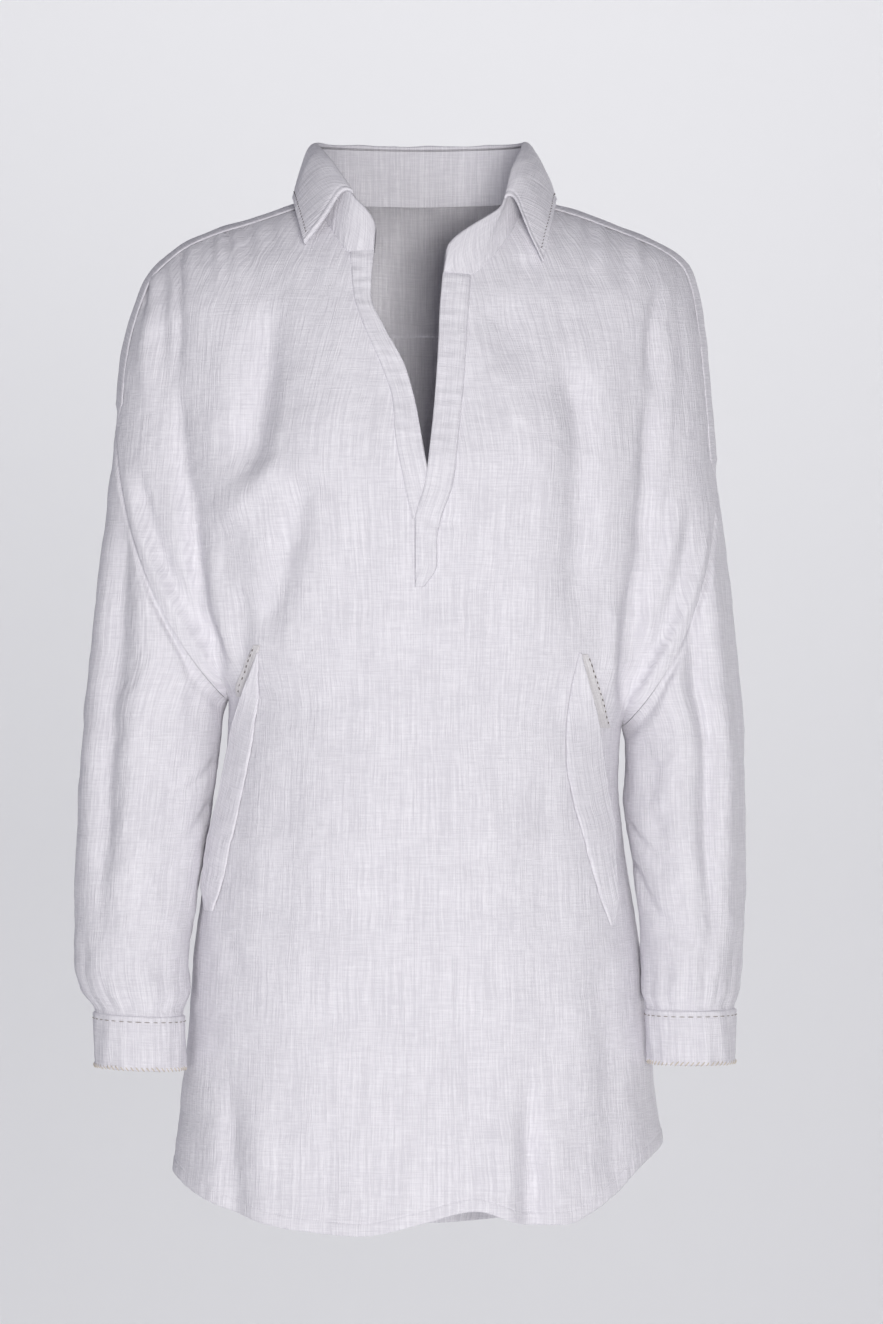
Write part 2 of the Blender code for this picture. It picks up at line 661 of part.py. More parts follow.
def build_sleeve(side):
    loop, lying, even = sleeve_angles(side)
    first = arm_point(side, lying, loop[:, 2])
    last_z = cuff_z(side, even, CUFF_TOP_Z[side])
    rings = []
    for t in np.linspace(0, 1, SLEEVE_RINGS + 1):
        angle = lying + (even - lying) * smooth_step(t / 0.6)
        z = loop[:, 2] + (last_z - loop[:, 2]) * t
        ring = arm_point(side, angle, z)
        ring += (loop - first) * (1 - t) ** 5
        rings.append(ring)
    rings[0] = loop
    rings[-1] = arm_point(side, even, last_z)
    points = np.stack(rings)
    faces = grid_faces(*points.shape[:2], closed=True, flip=side == LEFT)
    return Piece("sleeve_" + SIDE_NAME[side], points, faces)


def build_cuff(side):
    even = sleeve_angles(side)[2]
    rings = [arm_point(side, even, cuff_z(side, even, CUFF_TOP_Z[side] - drop))
             for drop in (0, CUFF_HEIGHT / 2, CUFF_HEIGHT)]
    points = np.stack(rings)
    faces = grid_faces(*points.shape[:2], closed=True, flip=side == LEFT)
    return Piece("cuff_" + SIDE_NAME[side], points, faces, wall=CUFF_WALL)


def lying_on(whole, rows_of_xz, lift):
    """Points over the whole front at (x, z), moved out along its facets by `lift` per column."""
    tree = BVHTree.FromPolygons([tuple(point) for point in whole.points], whole.faces)
    points = []
    for row in rows_of_xz:
        for (x, z), out in zip(row, lift):
            place, normal = tree.ray_cast(Vector((x, -400, z)), Vector((0, 1, 0)))[:2]
            points.append(np.array(place + normal * out))
    return np.array(points).reshape(len(rows_of_xz), -1, 3)


def build_right_band():
    """The under band: it fills the slit beside its seam and runs on under the other band."""
    outer = centre_edge(RIGHT, SLIT_ROWS)
    inner = slit_edge("right_edge", SLIT_ROWS)
    inner[-1] = (SLIT_BOTTOM[1], SLIT_BOTTOM_Z)
    points = on_skin(np.stack([outer, (outer + inner) / 2, inner], axis=1), FRONT)
    return Piece("placket_right", points, grid_faces(*points.shape[:2]))


def build_left_band(whole):
    """The upper band, from the neckline to its narrow tail below the slit."""
    edge, seam = slit_edge("left_edge", SLIT_ROWS), slit_edge("left_seam", SLIT_ROWS)
    seam[:, 0] += BAND_OVERLAP
    edge[0][1] += BAND_OVERLAP
    tail_z = np.linspace(SLIT_BOTTOM_Z, TAIL_BOTTOM_Z, 4)[1:]
    tail_width = np.array([TAIL_WIDTH, TAIL_WIDTH, TAIL_WIDTH_LOW])
    tail_edge = np.stack([np.full(3, SLIT_BOTTOM[0] + TAIL_INSET), tail_z], -1)
    tail_seam = np.stack([SLIT_BOTTOM[0] + tail_width, tail_z], -1)
    edge, seam = np.concatenate([edge, tail_edge]), np.concatenate([seam, tail_seam])
    rows = np.stack([edge, (edge + seam) / 2, seam], axis=1)
    points = lying_on(whole, rows, [LYING_GAP + WALL] * 3)
    return Piece("placket_left", points, grid_faces(*points.shape[:2]), sewn=False)


def build_welt(side, whole):
    table = WELT[side]
    rows = [np.linspace((row.seam, row.z), (row.edge, row.z), 3) for row in table]
    points = lying_on(whole, rows, [WALL + lift for lift in (LYING_GAP, WELT_MIDDLE, WELT_MOUTH)])
    faces = grid_faces(*points.shape[:2], flip=side == RIGHT)
    return Piece("pocket_welt_" + SIDE_NAME[side], points, faces, sewn=False)


def build_facing(side, whole):
    table = FACING[side]
    rows = [np.linspace((column(table, "inner", z), z), (column(table, "outer", z), z), 4)
            for z in np.linspace(table[0].z, table[-1].z, FACING_ROWS)]
    points = lying_on(whole, rows, [FACING_LIFT + WALL] * 4)
    faces = grid_faces(*points.shape[:2], flip=side == RIGHT)
    return Piece("pocket_facing_" + SIDE_NAME[side], points, faces, cloth=FACING_CLOTH, sewn=False)


def neckline():
    """Points round the neckline from the right band's edge over the back to the left band's."""
    right = on_skin(front_top(RIGHT)[:NECK_FRONT_COLUMNS + 1], FRONT)
    left = on_skin(front_top(LEFT)[:NECK_FRONT_COLUMNS + 1], FRONT)
    right_end = on_skin(slit_edge("right_edge", SLIT_ROWS)[:1], FRONT)
    left_end = on_skin(slit_edge("left_edge", SLIT_ROWS)[:1], FRONT)
    left_end[:, 1] -= LYING_GAP + WALL
    left_end[:, 2] += STAND_FRONT_OVERLAP
    neck_columns = NECK_BACK_COLUMNS // 2
    back_right, back_left = half_yoke(RIGHT)[1, :neck_columns + 1], half_yoke(LEFT)[1, :neck_columns + 1]
    return np.concatenate([right_end, right, back_right[::-1], back_left[1:], left[::-1], left_end])


def collar_line(name, count, start=0.0, end=1.0):
    """A named column of the collar table at `count` places along the roll line."""
    key = np.arange(len(COLLAR)) / (len(COLLAR) - 1)
    return through(key, [getattr(row, name) for row in COLLAR], np.linspace(start, end, count))


def build_stand():
    """Upright strip on the neckline, up to the collar's roll line, with rounded front ends."""
    base = neckline()
    base[:, 2] += LYING_GAP
    between = (base[1:-2] + base[2:-1]) / 2
    finer = np.stack([base[1:-2], between], axis=1).reshape(-1, 3)
    base = np.concatenate([base[:1], finer, base[-2:]])
    roll = np.stack([collar_line(name, len(base) - 2) for name in ("roll_x", "roll_y", "roll_z")], -1)
    right_end = base[0] + np.array(STAND_END_RIGHT)
    left_end = base[-1] + np.array(STAND_END_LEFT)
    top = np.concatenate([[right_end], roll, [left_end]])
    middle = (base + top) / 2
    points = np.stack([top, middle, base])
    return Piece("collar_stand", points, grid_faces(*points.shape[:2]), sewn=False)


def build_collar():
    """The leaf: from the roll line over and down to its outer edge."""
    count = 2 * (len(COLLAR) - 1) + 1
    roll = np.stack([collar_line(name, count) for name in ("roll_x", "roll_y", "roll_z")], -1)
    key = np.linspace(0, 1, len(COLLAR))
    under_y = [float(skin(row.edge_x, row.edge_z, row.face)) + row.face * COLLAR_CLEARANCE
               for row in COLLAR]
    edge_y = through(key, under_y, np.linspace(0, 1, count))
    edge_z = collar_line("edge_z", count) + COLLAR_CLEARANCE
    edge = np.stack([collar_line("edge_x", count), edge_y, edge_z], -1)
    out = edge - roll
    out[:, 2] = 0
    out /= np.linalg.norm(out, axis=1)[:, None]
    start = roll + out * LEAF_START[0] + np.array([0, 0, LEAF_START[1]])
    bend = start + out * LEAF_BEND[0] + np.array([0, 0, LEAF_BEND[1]])
    rows = [(1 - t) ** 2 * start + 2 * t * (1 - t) * bend + t * t * edge for t in np.linspace(0, 1, 6)]
    points = np.stack(rows)
    return Piece("collar", points, grid_faces(*points.shape[:2]), sewn=False)


def main():
    for thing in list(bpy.data.objects):
        bpy.data.objects.remove(thing)
    front, whole_front = build_front()
    sewn = [front, build_back(), build_yoke(), build_right_band()]
    for side in (RIGHT, LEFT):
        sewn += [build_sleeve(side), build_cuff(side)]
    share_normals(sewn)
    lying = [build_left_band(whole_front), build_stand(), build_collar()]
    for side in (RIGHT, LEFT):
        lying += [build_welt(side, whole_front), build_facing(side, whole_front)]
    for piece in sewn + lying:
        piece.build()


main()
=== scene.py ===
"""Looks of the linen tunic top: every piece of cloth as a thin sheet on the form of its CAD solid.

Tables and sizes are in millimetres, as in the part's source, and meshes are made in metres.
Left and right are the wearer's: the left side is +X, and the front faces -Y.
"""
import math
from collections import namedtuple

import bpy
import numpy as np
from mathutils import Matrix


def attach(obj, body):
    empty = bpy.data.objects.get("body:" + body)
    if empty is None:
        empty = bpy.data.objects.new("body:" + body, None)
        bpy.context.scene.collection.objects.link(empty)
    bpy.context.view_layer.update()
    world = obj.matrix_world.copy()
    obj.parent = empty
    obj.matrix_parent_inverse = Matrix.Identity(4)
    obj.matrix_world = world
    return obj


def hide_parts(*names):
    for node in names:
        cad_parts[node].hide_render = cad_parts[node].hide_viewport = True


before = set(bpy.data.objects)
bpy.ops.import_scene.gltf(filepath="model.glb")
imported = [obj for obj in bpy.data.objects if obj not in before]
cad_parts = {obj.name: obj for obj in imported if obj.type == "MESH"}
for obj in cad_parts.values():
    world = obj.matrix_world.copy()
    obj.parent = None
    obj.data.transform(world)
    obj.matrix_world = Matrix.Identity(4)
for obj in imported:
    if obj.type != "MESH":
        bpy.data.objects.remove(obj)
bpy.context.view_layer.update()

MM = 0.001
FRONT, BACK = -1, 1
RIGHT, LEFT = -1, 1
SIDE_NAME = {RIGHT: "right", LEFT: "left"}
rng = np.random.default_rng(7)


def rows_of(kind, rows):
    """Rows of plain numbers as rows with named columns."""
    return [kind(*row) for row in rows]


# Horizontal sections of the body: half widths to each side, reach to the front and to the back.
BodySlice = namedtuple("BodySlice", "z right left front back")
BODY = rows_of(BodySlice, [
    (30, 200, 200, 100, 100),
    (-60, 200, 200, 101, 100),
    (-150, 196, 196, 110, 106),
    (-210, 190, 192, 118, 108),
    (-300, 180, 184, 114, 106),
    (-350, 170, 178, 113, 105),
    (-387, 150, 166, 112, 105),
    (-408, 150, 158, 112, 106),
    (-450, 156, 155.5, 114, 108),
    (-500, 164.5, 160, 115, 110),
    (-545, 171.5, 167, 115, 112),
    (-590, 177.5, 174, 116, 113),
    (-640, 181, 179, 116, 114),
    (-690, 186, 184, 117, 116),
    (-760, 194, 194, 119, 118),
    (-830, 200, 200, 121, 120),
])
BODY_ROUND = 2.4

# Horizontal sections of the arms: outer and inner distance from the centre line, front and back Y.
ArmSlice = namedtuple("ArmSlice", "z outer inner front back")
ARM = {
    RIGHT: rows_of(ArmSlice, [
        (0, 216, 100, -46, 54),
        (-53, 226, 108, -49, 56),
        (-108, 233, 120, -53, 56),
        (-160, 238, 132, -55, 55),
        (-230, 245, 140, -57, 54),
        (-306, 254, 138, -58, 54),
        (-350, 258, 134, -58, 53),
        (-387, 262, 150, -58, 52),
        (-400, 263, 154, -59, 50),
        (-424, 264.5, 156, -62, 43),
        (-462, 266.5, 161, -66, 35),
        (-530, 268.5, 171.5, -76, 20),
        (-589, 268.5, 179, -84, 6),
        (-611, 263, 178, -88, -2),
        (-628, 251, 183, -86, -18),
        (-673, 249.5, 182, -90, -24),
    ]),
    LEFT: rows_of(ArmSlice, [
        (0, 208, 96, -46, 54),
        (-64, 219, 106, -49, 56),
        (-123, 226, 116, -53, 56),
        (-200, 232, 128, -56, 55),
        (-277, 241, 140, -57, 54),
        (-330, 247, 142, -58, 54),
        (-370, 251, 143, -58, 53),
        (-408, 253.6, 159, -58, 52),
        (-421, 254, 161, -60, 48),
        (-469, 254.5, 160, -66, 34),
        (-529, 253.6, 167.5, -76, 20),
        (-582, 251, 172, -84, 6),
        (-611, 248, 172, -88, -2),
        (-625, 243.5, 175.5, -86, -18),
        (-672, 242.5, 178, -90, -24),
    ]),
}

# The shoulder line as seen from the front, from the centre out over the arm to the armhole.
RidgePoint = namedtuple("RidgePoint", "x z")
RIDGE = {
    RIGHT: rows_of(RidgePoint, [
        (0, 22), (60, 14), (97, 2.5), (133, -9.4),
        (159, -17.3), (184.5, -28.3), (198, -38),
        (213.5, -53.4), (225, -81), (232.4, -108),
        (236.3, -136), (237.5, -159),
    ]),
    LEFT: rows_of(RidgePoint, [
        (0, 22), (60, 14), (104, 2.5), (126, -4),
        (145, -11), (169, -20.4), (191, -30),
        (209.6, -44), (218, -64), (222, -88),
        (226, -123), (229, -160), (232, -203),
    ]),
}
# The line lies RIDGE_Y back above the upper of two heights and at zero below the lower one. The
# cloth rounds over it with a radius that changes from the neck to the arm.
RIDGE_Y = 8
RIDGE_Y_LOW, RIDGE_Y_HIGH = -250, -50
RIDGE_RADIUS_AT_NECK, RIDGE_RADIUS_AT_ARM, RIDGE_RADIUS_BACK = 150, 50, 100
ROUNDING_FROM_X, ROUNDING_TO_X = 100, 215

# Armhole seams, each a curve from the shoulder line through a bend down to the underarm,
# which lies on the side seam.
Point = namedtuple("Point", "x z")
ARMHOLE = {
    RIGHT: (Point(-237.5, -159), Point(-232, -297)),
    LEFT: (Point(232, -203), Point(230, -330)),
}
UNDERARM_Z = {RIGHT: -387, LEFT: -408}
BLEND = 16
BLEND_HEIGHT = 45

# Seams and edges of the slit at the neck, by height.
SlitRow = namedtuple("SlitRow", "z right_seam right_edge left_edge left_seam")
SLIT = rows_of(SlitRow, [
    (-30, -53, -33, 22, 40),
    (-45, -52, -35, 20, 39),
    (-75, -49, -37, 16, 37),
    (-100, -41, -27, 15, 35),
    (-130, -28, -11, 13.5, 33.5),
    (-158, -19, -3, 11.5, 31),
    (-185, -17, 2, 9, 28),
    (-207, -13, 6, 6, 26.5),
    (-230, -8.5, 11, 3, 22),
    (-248, -4, 14, -3, 15),
])
SLIT_BOTTOM_Z = -248
SLIT_BOTTOM = (-4, 14)
TAIL_BOTTOM_Z = -300
TAIL_WIDTH, TAIL_WIDTH_LOW, TAIL_INSET = 18.0, 8, 1.0
# The upper band reaches this far over the front beside it, and under the stand at its top.
BAND_OVERLAP = 2

# The neckline where the stand is sewn on: right front, then left front; the back lies level.
NECK_FRONT = {
    RIGHT: [Point(-52, -40), Point(-67, -22), Point(-82, 7)],
    LEFT: [Point(39, -58), Point(64, -34), Point(84, 7)],
}
NECK_BACK_Z = 7

# Lower edges of the front and the back.
HEM = {
    FRONT: rows_of(Point, [
        (-194, -753), (-170, -768), (-144, -778), (-95, -790),
        (-45, -794), (0, -785), (43, -775), (85, -786), (110, -786),
        (150, -766), (172, -745), (192, -731),
    ]),
    BACK: rows_of(Point, [
        (-194, -753), (-150, -790), (-95, -806), (0, -811),
        (80, -804), (150, -782), (192, -731),
    ]),
}

# The yoke's seam across the back.
YOKE_SEAM = rows_of(Point, [
    (0, -95), (80, -97), (140, -106), (185, -128), (212, -165),
])
YOKE_LIP = 4
ARMHOLE_START_FRONT = 0.03
ARMHOLE_START_BACK = 0.32

# Curved welts of the hip pockets: the sewn edge and the free edge, by height.
WeltRow = namedtuple("WeltRow", "z seam edge")
WELT = {
    LEFT: rows_of(WeltRow, [
        (-350, 122, 124), (-372, 117, 127.5), (-400, 113, 134),
        (-430, 112, 138), (-460, 117, 142), (-490, 125, 147),
        (-520, 133, 148), (-545, 141, 150), (-560, 147, 151),
    ]),
    RIGHT: rows_of(WeltRow, [
        (-350, -123, -125), (-372, -123, -131), (-400, -126, -139),
        (-430, -130, -145), (-460, -137, -151), (-490, -143, -158),
        (-515, -149, -163), (-535, -154, -165.5), (-550, -159, -166),
    ]),
}
# How far a welt stands off the front at its free edge.
WELT_MOUTH = 4.5

# Facing strips beside the pocket mouths: inner and outer edge, by height.
FacingRow = namedtuple("FacingRow", "z inner outer")
FACING = {
    LEFT: rows_of(FacingRow, [
        (-351, 126, 129), (-372, 130, 137), (-392, 136, 142.5),
        (-408, 139, 147),
    ]),
    RIGHT: rows_of(FacingRow, [
        (-344, -125, -128), (-360, -130, -137), (-376, -134.5, -142),
        (-384, -137, -142),
    ]),
}

# How far the front and the back sink under the yoke at their top seams.
TOP_DROP = 0.6

# How far a facing reaches under its welt.
FACING_TUCK = 3

# Roll line and outer edge of the collar leaf. Edge points lie over the cloth on the face given.
CollarStation = namedtuple("CollarStation", "roll_x roll_y roll_z edge_x edge_z face")
COLLAR = rows_of(CollarStation, [
    (-50, -66, 2, -88, -40, FRONT),
    (-61, -48, 20, -94, -17, FRONT),
    (-74, -18, 38, -97, -1.5, FRONT),
    (-79, 8, 46, -99, 2, BACK),
    (-66, 40, 49, -84, -4, BACK),
    (-36, 60, 50, -46, -10, BACK),
    (0, 66, 50, 0, -12, BACK),
    (37, 60, 50, 48, -10, BACK),
    (68, 40, 49, 88, -5, BACK),
    (80, 8, 47, 105, 0, BACK),
    (77, -18, 38, 105, -3, FRONT),
    (70, -44, 20, 101, -26, FRONT),
    (65, -62, -2, 95, -54, FRONT),
])
COLLAR_CLEARANCE = 4.5
# The leaf starts this far out from the stand's upper edge and above it, then bends over.
Bend = namedtuple("Bend", "out up")
LEAF_START, LEAF_BEND = Bend(1.0, 1.6), Bend(9, 7)
STAND_FRONT_OVERLAP = 2

# How finely each CAD piece is divided, and the height and tilt of the cuffs.
SHOULDER_COLUMNS = 5
NECK_FRONT_COLUMNS = 2
NECK_BACK_COLUMNS = 6
SLIT_ROWS = 7
ARMHOLE_ROWS_FRONT = 11
ARMHOLE_ROWS_BACK = 8
SIDE_ROWS = 13
YOKE_ROWS = 4
SLEEVE_RINGS = 15

CUFF_TOP_Z = {RIGHT: -628.5, LEFT: -624.5}
CUFF_HEIGHT = 42
CUFF_TILT = {RIGHT: -0.045, LEFT: 0.0}

# How many times finer than the CAD's facets the cloth is divided, and points round other pieces.
FINE = 12
CUFF_COLUMNS, STAND_COLUMNS, LEAF_COLUMNS = 241, 301, 421
CREASE_STEPS = 24
# Corners closer than a millimetre divided by this are welded.
WELD_STEPS = 200
STITCH_SIDES = 6

# The turned hem: rows replaced, distances of the new ones from the edge, and its fold and stitches.
HEM_ROWS = 8
HEM_STEPS = [20, 17, 15, 13.5, 12.4, 11.4, 10.8, 10.4, 10, 9.6, 9.2, 8.6, 7.5, 6, 4.5, 3, 1.8, 1, 0.5,
             0.2, 0]
HEM_INSIDE = [0.2, 0.8, 2, 5, 8, 10.5]
HEM_STITCH = 10
HEM_LIFT, HEM_FOLD = 0.7, 1.1

# Beside the lower armhole seam the front bulges over the sleeve, which falls back under it.
ARMHOLE_BULGE, ARMHOLE_TROUGH = 3.2, 3.4
UNDERARM_BEND = 178

# Where the picked stitches run on each pocket's strip, from its outer edge to its inner edge.
PICK_SHARE = {RIGHT: 0.4, LEFT: 0.15}

# The cut of what shows of each piece, in metres and square metres.
Cut = namedtuple("Cut", "node width length area held")

# The view and the studio, in metres.
CAMERA_PLACE, CAMERA_LENS, SENSOR_HEIGHT = (0.017, -3.8, -0.357), 131.7, 36
FLOOR_Z, WALL_Y, WALL_TOP_Z, BEND_RADIUS, STUDIO_HALF = -2.4, 7.5, 7.0, 1.6, 26.0
BACKDROP = (0.86, 0.86, 0.87)
WORLD_COLOUR, WORLD_POWER = (0.90, 0.895, 1.0), 0.26
LIGHTS = [
    ("key", (0.5, -3.9, -0.4), (0, 0, -0.4), (0.9, 0.9), 88, (1.0, 0.985, 0.97)),
    ("fill", (-2.0, -3.4, -0.7), (0, 0, -0.4), (1.2, 1.6), 17, (0.97, 0.97, 1.0)),
    ("back_key", (2.7, 3.4, 0.0), (0, 0, -0.4), (1.0, 1.2), 62, (1.0, 0.99, 0.98)),
    ("back_fill", (-2.9, 3.0, -0.6), (0, 0, -0.4), (1.4, 1.6), 22, (0.97, 0.97, 1.0)),
    ("wall", (0, 3.4, 2.6), (0, 7.5, -1.15), (6.0, 1.5), 152, (1.0, 1.0, 1.0)),
]

# Cloth and thread colours: a cloth has its light and its dark threads.
LINEN_LIGHT, LINEN_DARK = (0.90, 0.885, 0.925), (0.73, 0.715, 0.76)
# The pocket facing's linen is a darker, warmer copy of the white one: painted shade of the pocket mouth
# between welt and front.
FACING_SHADED_LIGHT, FACING_SHADED_DARK = (0.87, 0.85, 0.86), (0.70, 0.68, 0.69)
THREADS = {
    "dark": (0.13, 0.11, 0.11), "brown": (0.10, 0.075, 0.065),
    "grey": (0.36, 0.33, 0.31), "beige": (0.66, 0.60, 0.52),
}
# The sum of a cloth's weighted noises is divided by this, so that it lies between 0 and 1.
NOISE_WEIGHT = 3.75

# Stitches in mm: how far apart they are, how long each is, and its radius.
Stitch = namedtuple("Stitch", "spacing length radius")
COLLAR_STITCH, POCKET_STITCH = Stitch(3.4, 2.3, 0.34), Stitch(4.4, 3.1, 0.42)
CUFF_TOP_STITCH, CUFF_EDGE_STITCH = Stitch(6.6, 4.2, 0.38), Stitch(4.1, 4.8, 0.55)
# How far the pocket stitches lie off the front.
PICK_LIFT = 1.15

# Creases of the front and the back as seen from outside: troughs are negative, ridges positive.
# Each runs through three points, is `width` wide, and fades over a share of its length at each end.
Crease = namedtuple("Crease", "x1 z1 x2 z2 x3 z3 width height fade_in fade_out")
CREASES = {
    FRONT: rows_of(Crease, [
        # the large troughs and the two high places of the chest
        (-114, -66, -123, -142, -141, -228, 16, -15, 0.45, 0.25),
        (-104, -196, -128, -226, -160, -256, 12, 5, 0.3, 0.3),
        (-84, -205, -101, -271, -122, -345, 12, -7.5, 0.35, 0.2),
        (104, -110, 125, -190, 123, -345, 14, -9, 0.35, 0.2),
        (-66, -100, -70, -172, -74, -250, 34, 7, 0.6, 0.6),
        (80, -105, 80, -176, 82, -250, 34, 7, 0.6, 0.6),
        (62, -66, 68, -106, 80, -146, 16, -4.5, 0.4, 0.5),
        # the line where the body turns into the arm
        (-189, -24, -187.5, -90, -187, -158, 3.4, -4.2, 0.05, 0.4),
        (-199, -40, -200, -95, -194, -160, 6, -3.2, 0.2, 0.5),
        (-187, -140, -184, -200, -170, -262, 6, -4.5, 0.3, 0.35),
        (-209, -76, -214, -120, -210, -180, 6, 2.6, 0.3, 0.5),
        (189, -62, 180, -100, 178.5, -160, 4.5, -4.5, 0.2, 0.3),
        (178, -140, 175, -215, 169, -290, 6, -5.5, 0.3, 0.3),
        (170, -262, 163, -330, 155, -398, 7, -6, 0.3, 0.2),
        (197, -90, 193, -160, 188, -240, 8, 3.2, 0.3, 0.3),
        # round the armholes
        (-221, -200, -204, -262, -152, -358, 6, -4.5, 0.3, 0.1),
        (-178, -226, -171, -297, -150, -368, 6, -5.5, 0.3, 0.1),
        (-192, -205, -186, -270, -160, -345, 8, 4.5, 0.3, 0.2),
        (-160, -240, -156, -300, -146, -372, 6, 3.5, 0.4, 0.15),
        (214, -230, 196, -310, 163, -385, 7, -4.0, 0.3, 0.1),
        (204, -220, 188, -296, 170, -352, 8, 3.5, 0.3, 0.2),
        (150, -300, 148, -345, 150, -400, 6, 4.0, 0.3, 0.15),
        (-140, -292, -137, -330, -140, -378, 8, -4.5, 0.3, 0.15),
        # gathers under the yoke
        (-178, -20, -178, -40, -176, -70, 3.6, 2.0, 0.02, 0.7),
        (-171, -20, -171, -45, -172, -78, 3.2, -2.4, 0.02, 0.7),
        (-162, -15, -162, -42, -160, -84, 3.6, -3.4, 0.02, 0.7),
        (-156, -15, -156, -42, -155, -80, 3.2, 1.8, 0.02, 0.7),
        (-150, -12, -149, -42, -146, -96, 3.6, -3.6, 0.02, 0.7),
        (-143, -10, -143, -38, -140, -70, 3.6, 2.0, 0.02, 0.7),
        (-136, -8, -133, -38, -122, -84, 6.0, -4.2, 0.02, 0.7),
        (-118, -5, -114, -30, -106, -62, 4.5, -2.2, 0.02, 0.7),
        (-96, -2, -98, -22, -100, -48, 4.0, -1.5, 0.02, 0.7),
        (118, -2, 114, -28, 106, -66, 4.0, -2.2, 0.02, 0.7),
        (132, -5, 133, -40, 126, -100, 4.5, -3.6, 0.02, 0.7),
        (141, -8, 142, -36, 139, -72, 4.0, 2.0, 0.02, 0.7),
        (150, -12, 150, -40, 148, -76, 3.4, -2.4, 0.02, 0.7),
        (160, -16, 160, -50, 156, -100, 4.2, -3.4, 0.02, 0.7),
        (168, -20, 168, -44, 166, -76, 3.6, 2.0, 0.02, 0.7),
        (176, -24, 178, -50, 176, -84, 3.6, -2.6, 0.02, 0.7),
        (-213, -60, -216, -76, -218, -98, 3.2, -3.4, 0.1, 0.6),
        (-207, -50, -209, -66, -211, -90, 3.0, 2.0, 0.1, 0.6),
        # beside the neck and the slit
        (-90, -28, -80, -70, -62, -120, 9, -2.0, 0.1, 0.5),
        (82, -40, 74, -80, 56, -140, 9, -2.0, 0.1, 0.5),
        (4, -250, 20, -251, 36, -248, 4, -1.8, 0.2, 0.4),
        (-6, -300, -4, -360, -8, -430, 8, -1.6, 0.1, 0.6),
        # the waist and the skirt
        (-40, -255, -48, -330, -52, -430, 16, -2.2, 0.4, 0.5),
        (44, -250, 52, -330, 50, -460, 16, -2.2, 0.4, 0.5),
        (-96, -400, -104, -500, -108, -620, 14, -2.4, 0.4, 0.4),
        (92, -420, 96, -520, 92, -640, 14, -2.6, 0.4, 0.4),
        (-20, -470, -26, -580, -30, -700, 22, -2.0, 0.4, 0.4),
        (36, -560, 34, -650, 38, -760, 15, -2.6, 0.4, 0.3),
        (-145, -660, -146, -725, -143, -790, 9, -5.5, 0.5, 0.05),
        (-124, -680, -122, -730, -118, -800, 11, 2.6, 0.5, 0.05),
        (83, -650, 85, -725, 86, -800, 8, -8.0, 0.6, 0.02),
        (66, -680, 66, -730, 66, -800, 10, 4.5, 0.5, 0.02),
        (104, -690, 106, -740, 108, -800, 12, 3.0, 0.5, 0.02),
        (-70, -690, -72, -740, -74, -800, 13, -3.0, 0.5, 0.05),
        (10, -700, 12, -750, 12, -800, 12, -2.4, 0.5, 0.05),
        (140, -600, 146, -680, 150, -770, 12, -3.0, 0.5, 0.2),
        (118, -560, 122, -640, 126, -730, 14, 2.2, 0.4, 0.3),
        # drag lines at the hips, below the pockets
        (-150, -560, -140, -590, -118, -612, 9, -2.0, 0.3, 0.5),
        (148, -580, 138, -604, 112, -622, 9, -1.8, 0.3, 0.5),
        (-132, -380, -100, -396, -66, -398, 9, -1.6, 0.2, 0.6),
        (112, -384, 84, -398, 54, -402, 9, -1.5, 0.2, 0.6),
    ]),
    BACK: rows_of(Crease, [
        # the back: gathers under the yoke, long troughs, and the hang of the skirt
        (-34, -97, -36, -150, -44, -260, 7, -3.5, 0.02, 0.7),
        (-18, -96, -20, -140, -26, -220, 6, -2.6, 0.02, 0.7),
        (0, -96, 0, -160, -4, -300, 8, -3.5, 0.02, 0.7),
        (17, -96, 20, -140, 24, -230, 6, -2.6, 0.02, 0.7),
        (33, -97, 38, -150, 46, -280, 7, -3.6, 0.02, 0.7),
        (-27, -97, -28, -140, -34, -210, 6, 2.4, 0.02, 0.7),
        (26, -97, 29, -140, 34, -210, 6, 2.4, 0.02, 0.7),
        (-120, -118, -128, -190, -118, -300, 16, -6.5, 0.2, 0.4),
        (116, -116, 126, -200, 116, -320, 16, -6.0, 0.2, 0.4),
        (-186, -140, -190, -200, -168, -310, 9, -4.0, 0.2, 0.3),
        (184, -150, 186, -220, 170, -330, 9, -4.0, 0.2, 0.3),
        (-86, -330, -96, -400, -90, -500, 14, -4.5, 0.4, 0.4),
        (84, -340, 94, -420, 86, -520, 14, -4.5, 0.4, 0.4),
        (-40, -360, -30, -392, 6, -404, 12, -3.0, 0.4, 0.5),
        (60, -350, 40, -378, 4, -384, 12, -2.6, 0.4, 0.5),
        (-66, -520, -72, -640, -74, -811, 16, -6.0, 0.5, 0.05),
        (-36, -560, -38, -680, -40, -811, 15, 3.5, 0.5, 0.05),
        (0, -560, 4, -680, 2, -811, 15, -5.0, 0.5, 0.05),
        (36, -580, 40, -700, 42, -811, 14, 3.0, 0.5, 0.05),
        (76, -540, 80, -660, 84, -811, 16, -6.0, 0.5, 0.05),
        (-128, -600, -134, -690, -136, -790, 13, -4.0, 0.5, 0.05),
        (130, -600, 136, -690, 138, -790, 13, -4.0, 0.5, 0.05),
        (-206, -250, -190, -310, -156, -370, 8, -3.5, 0.2, 0.2),
        (206, -270, 190, -330, 162, -390, 8, -3.5, 0.2, 0.2),
    ]),
}

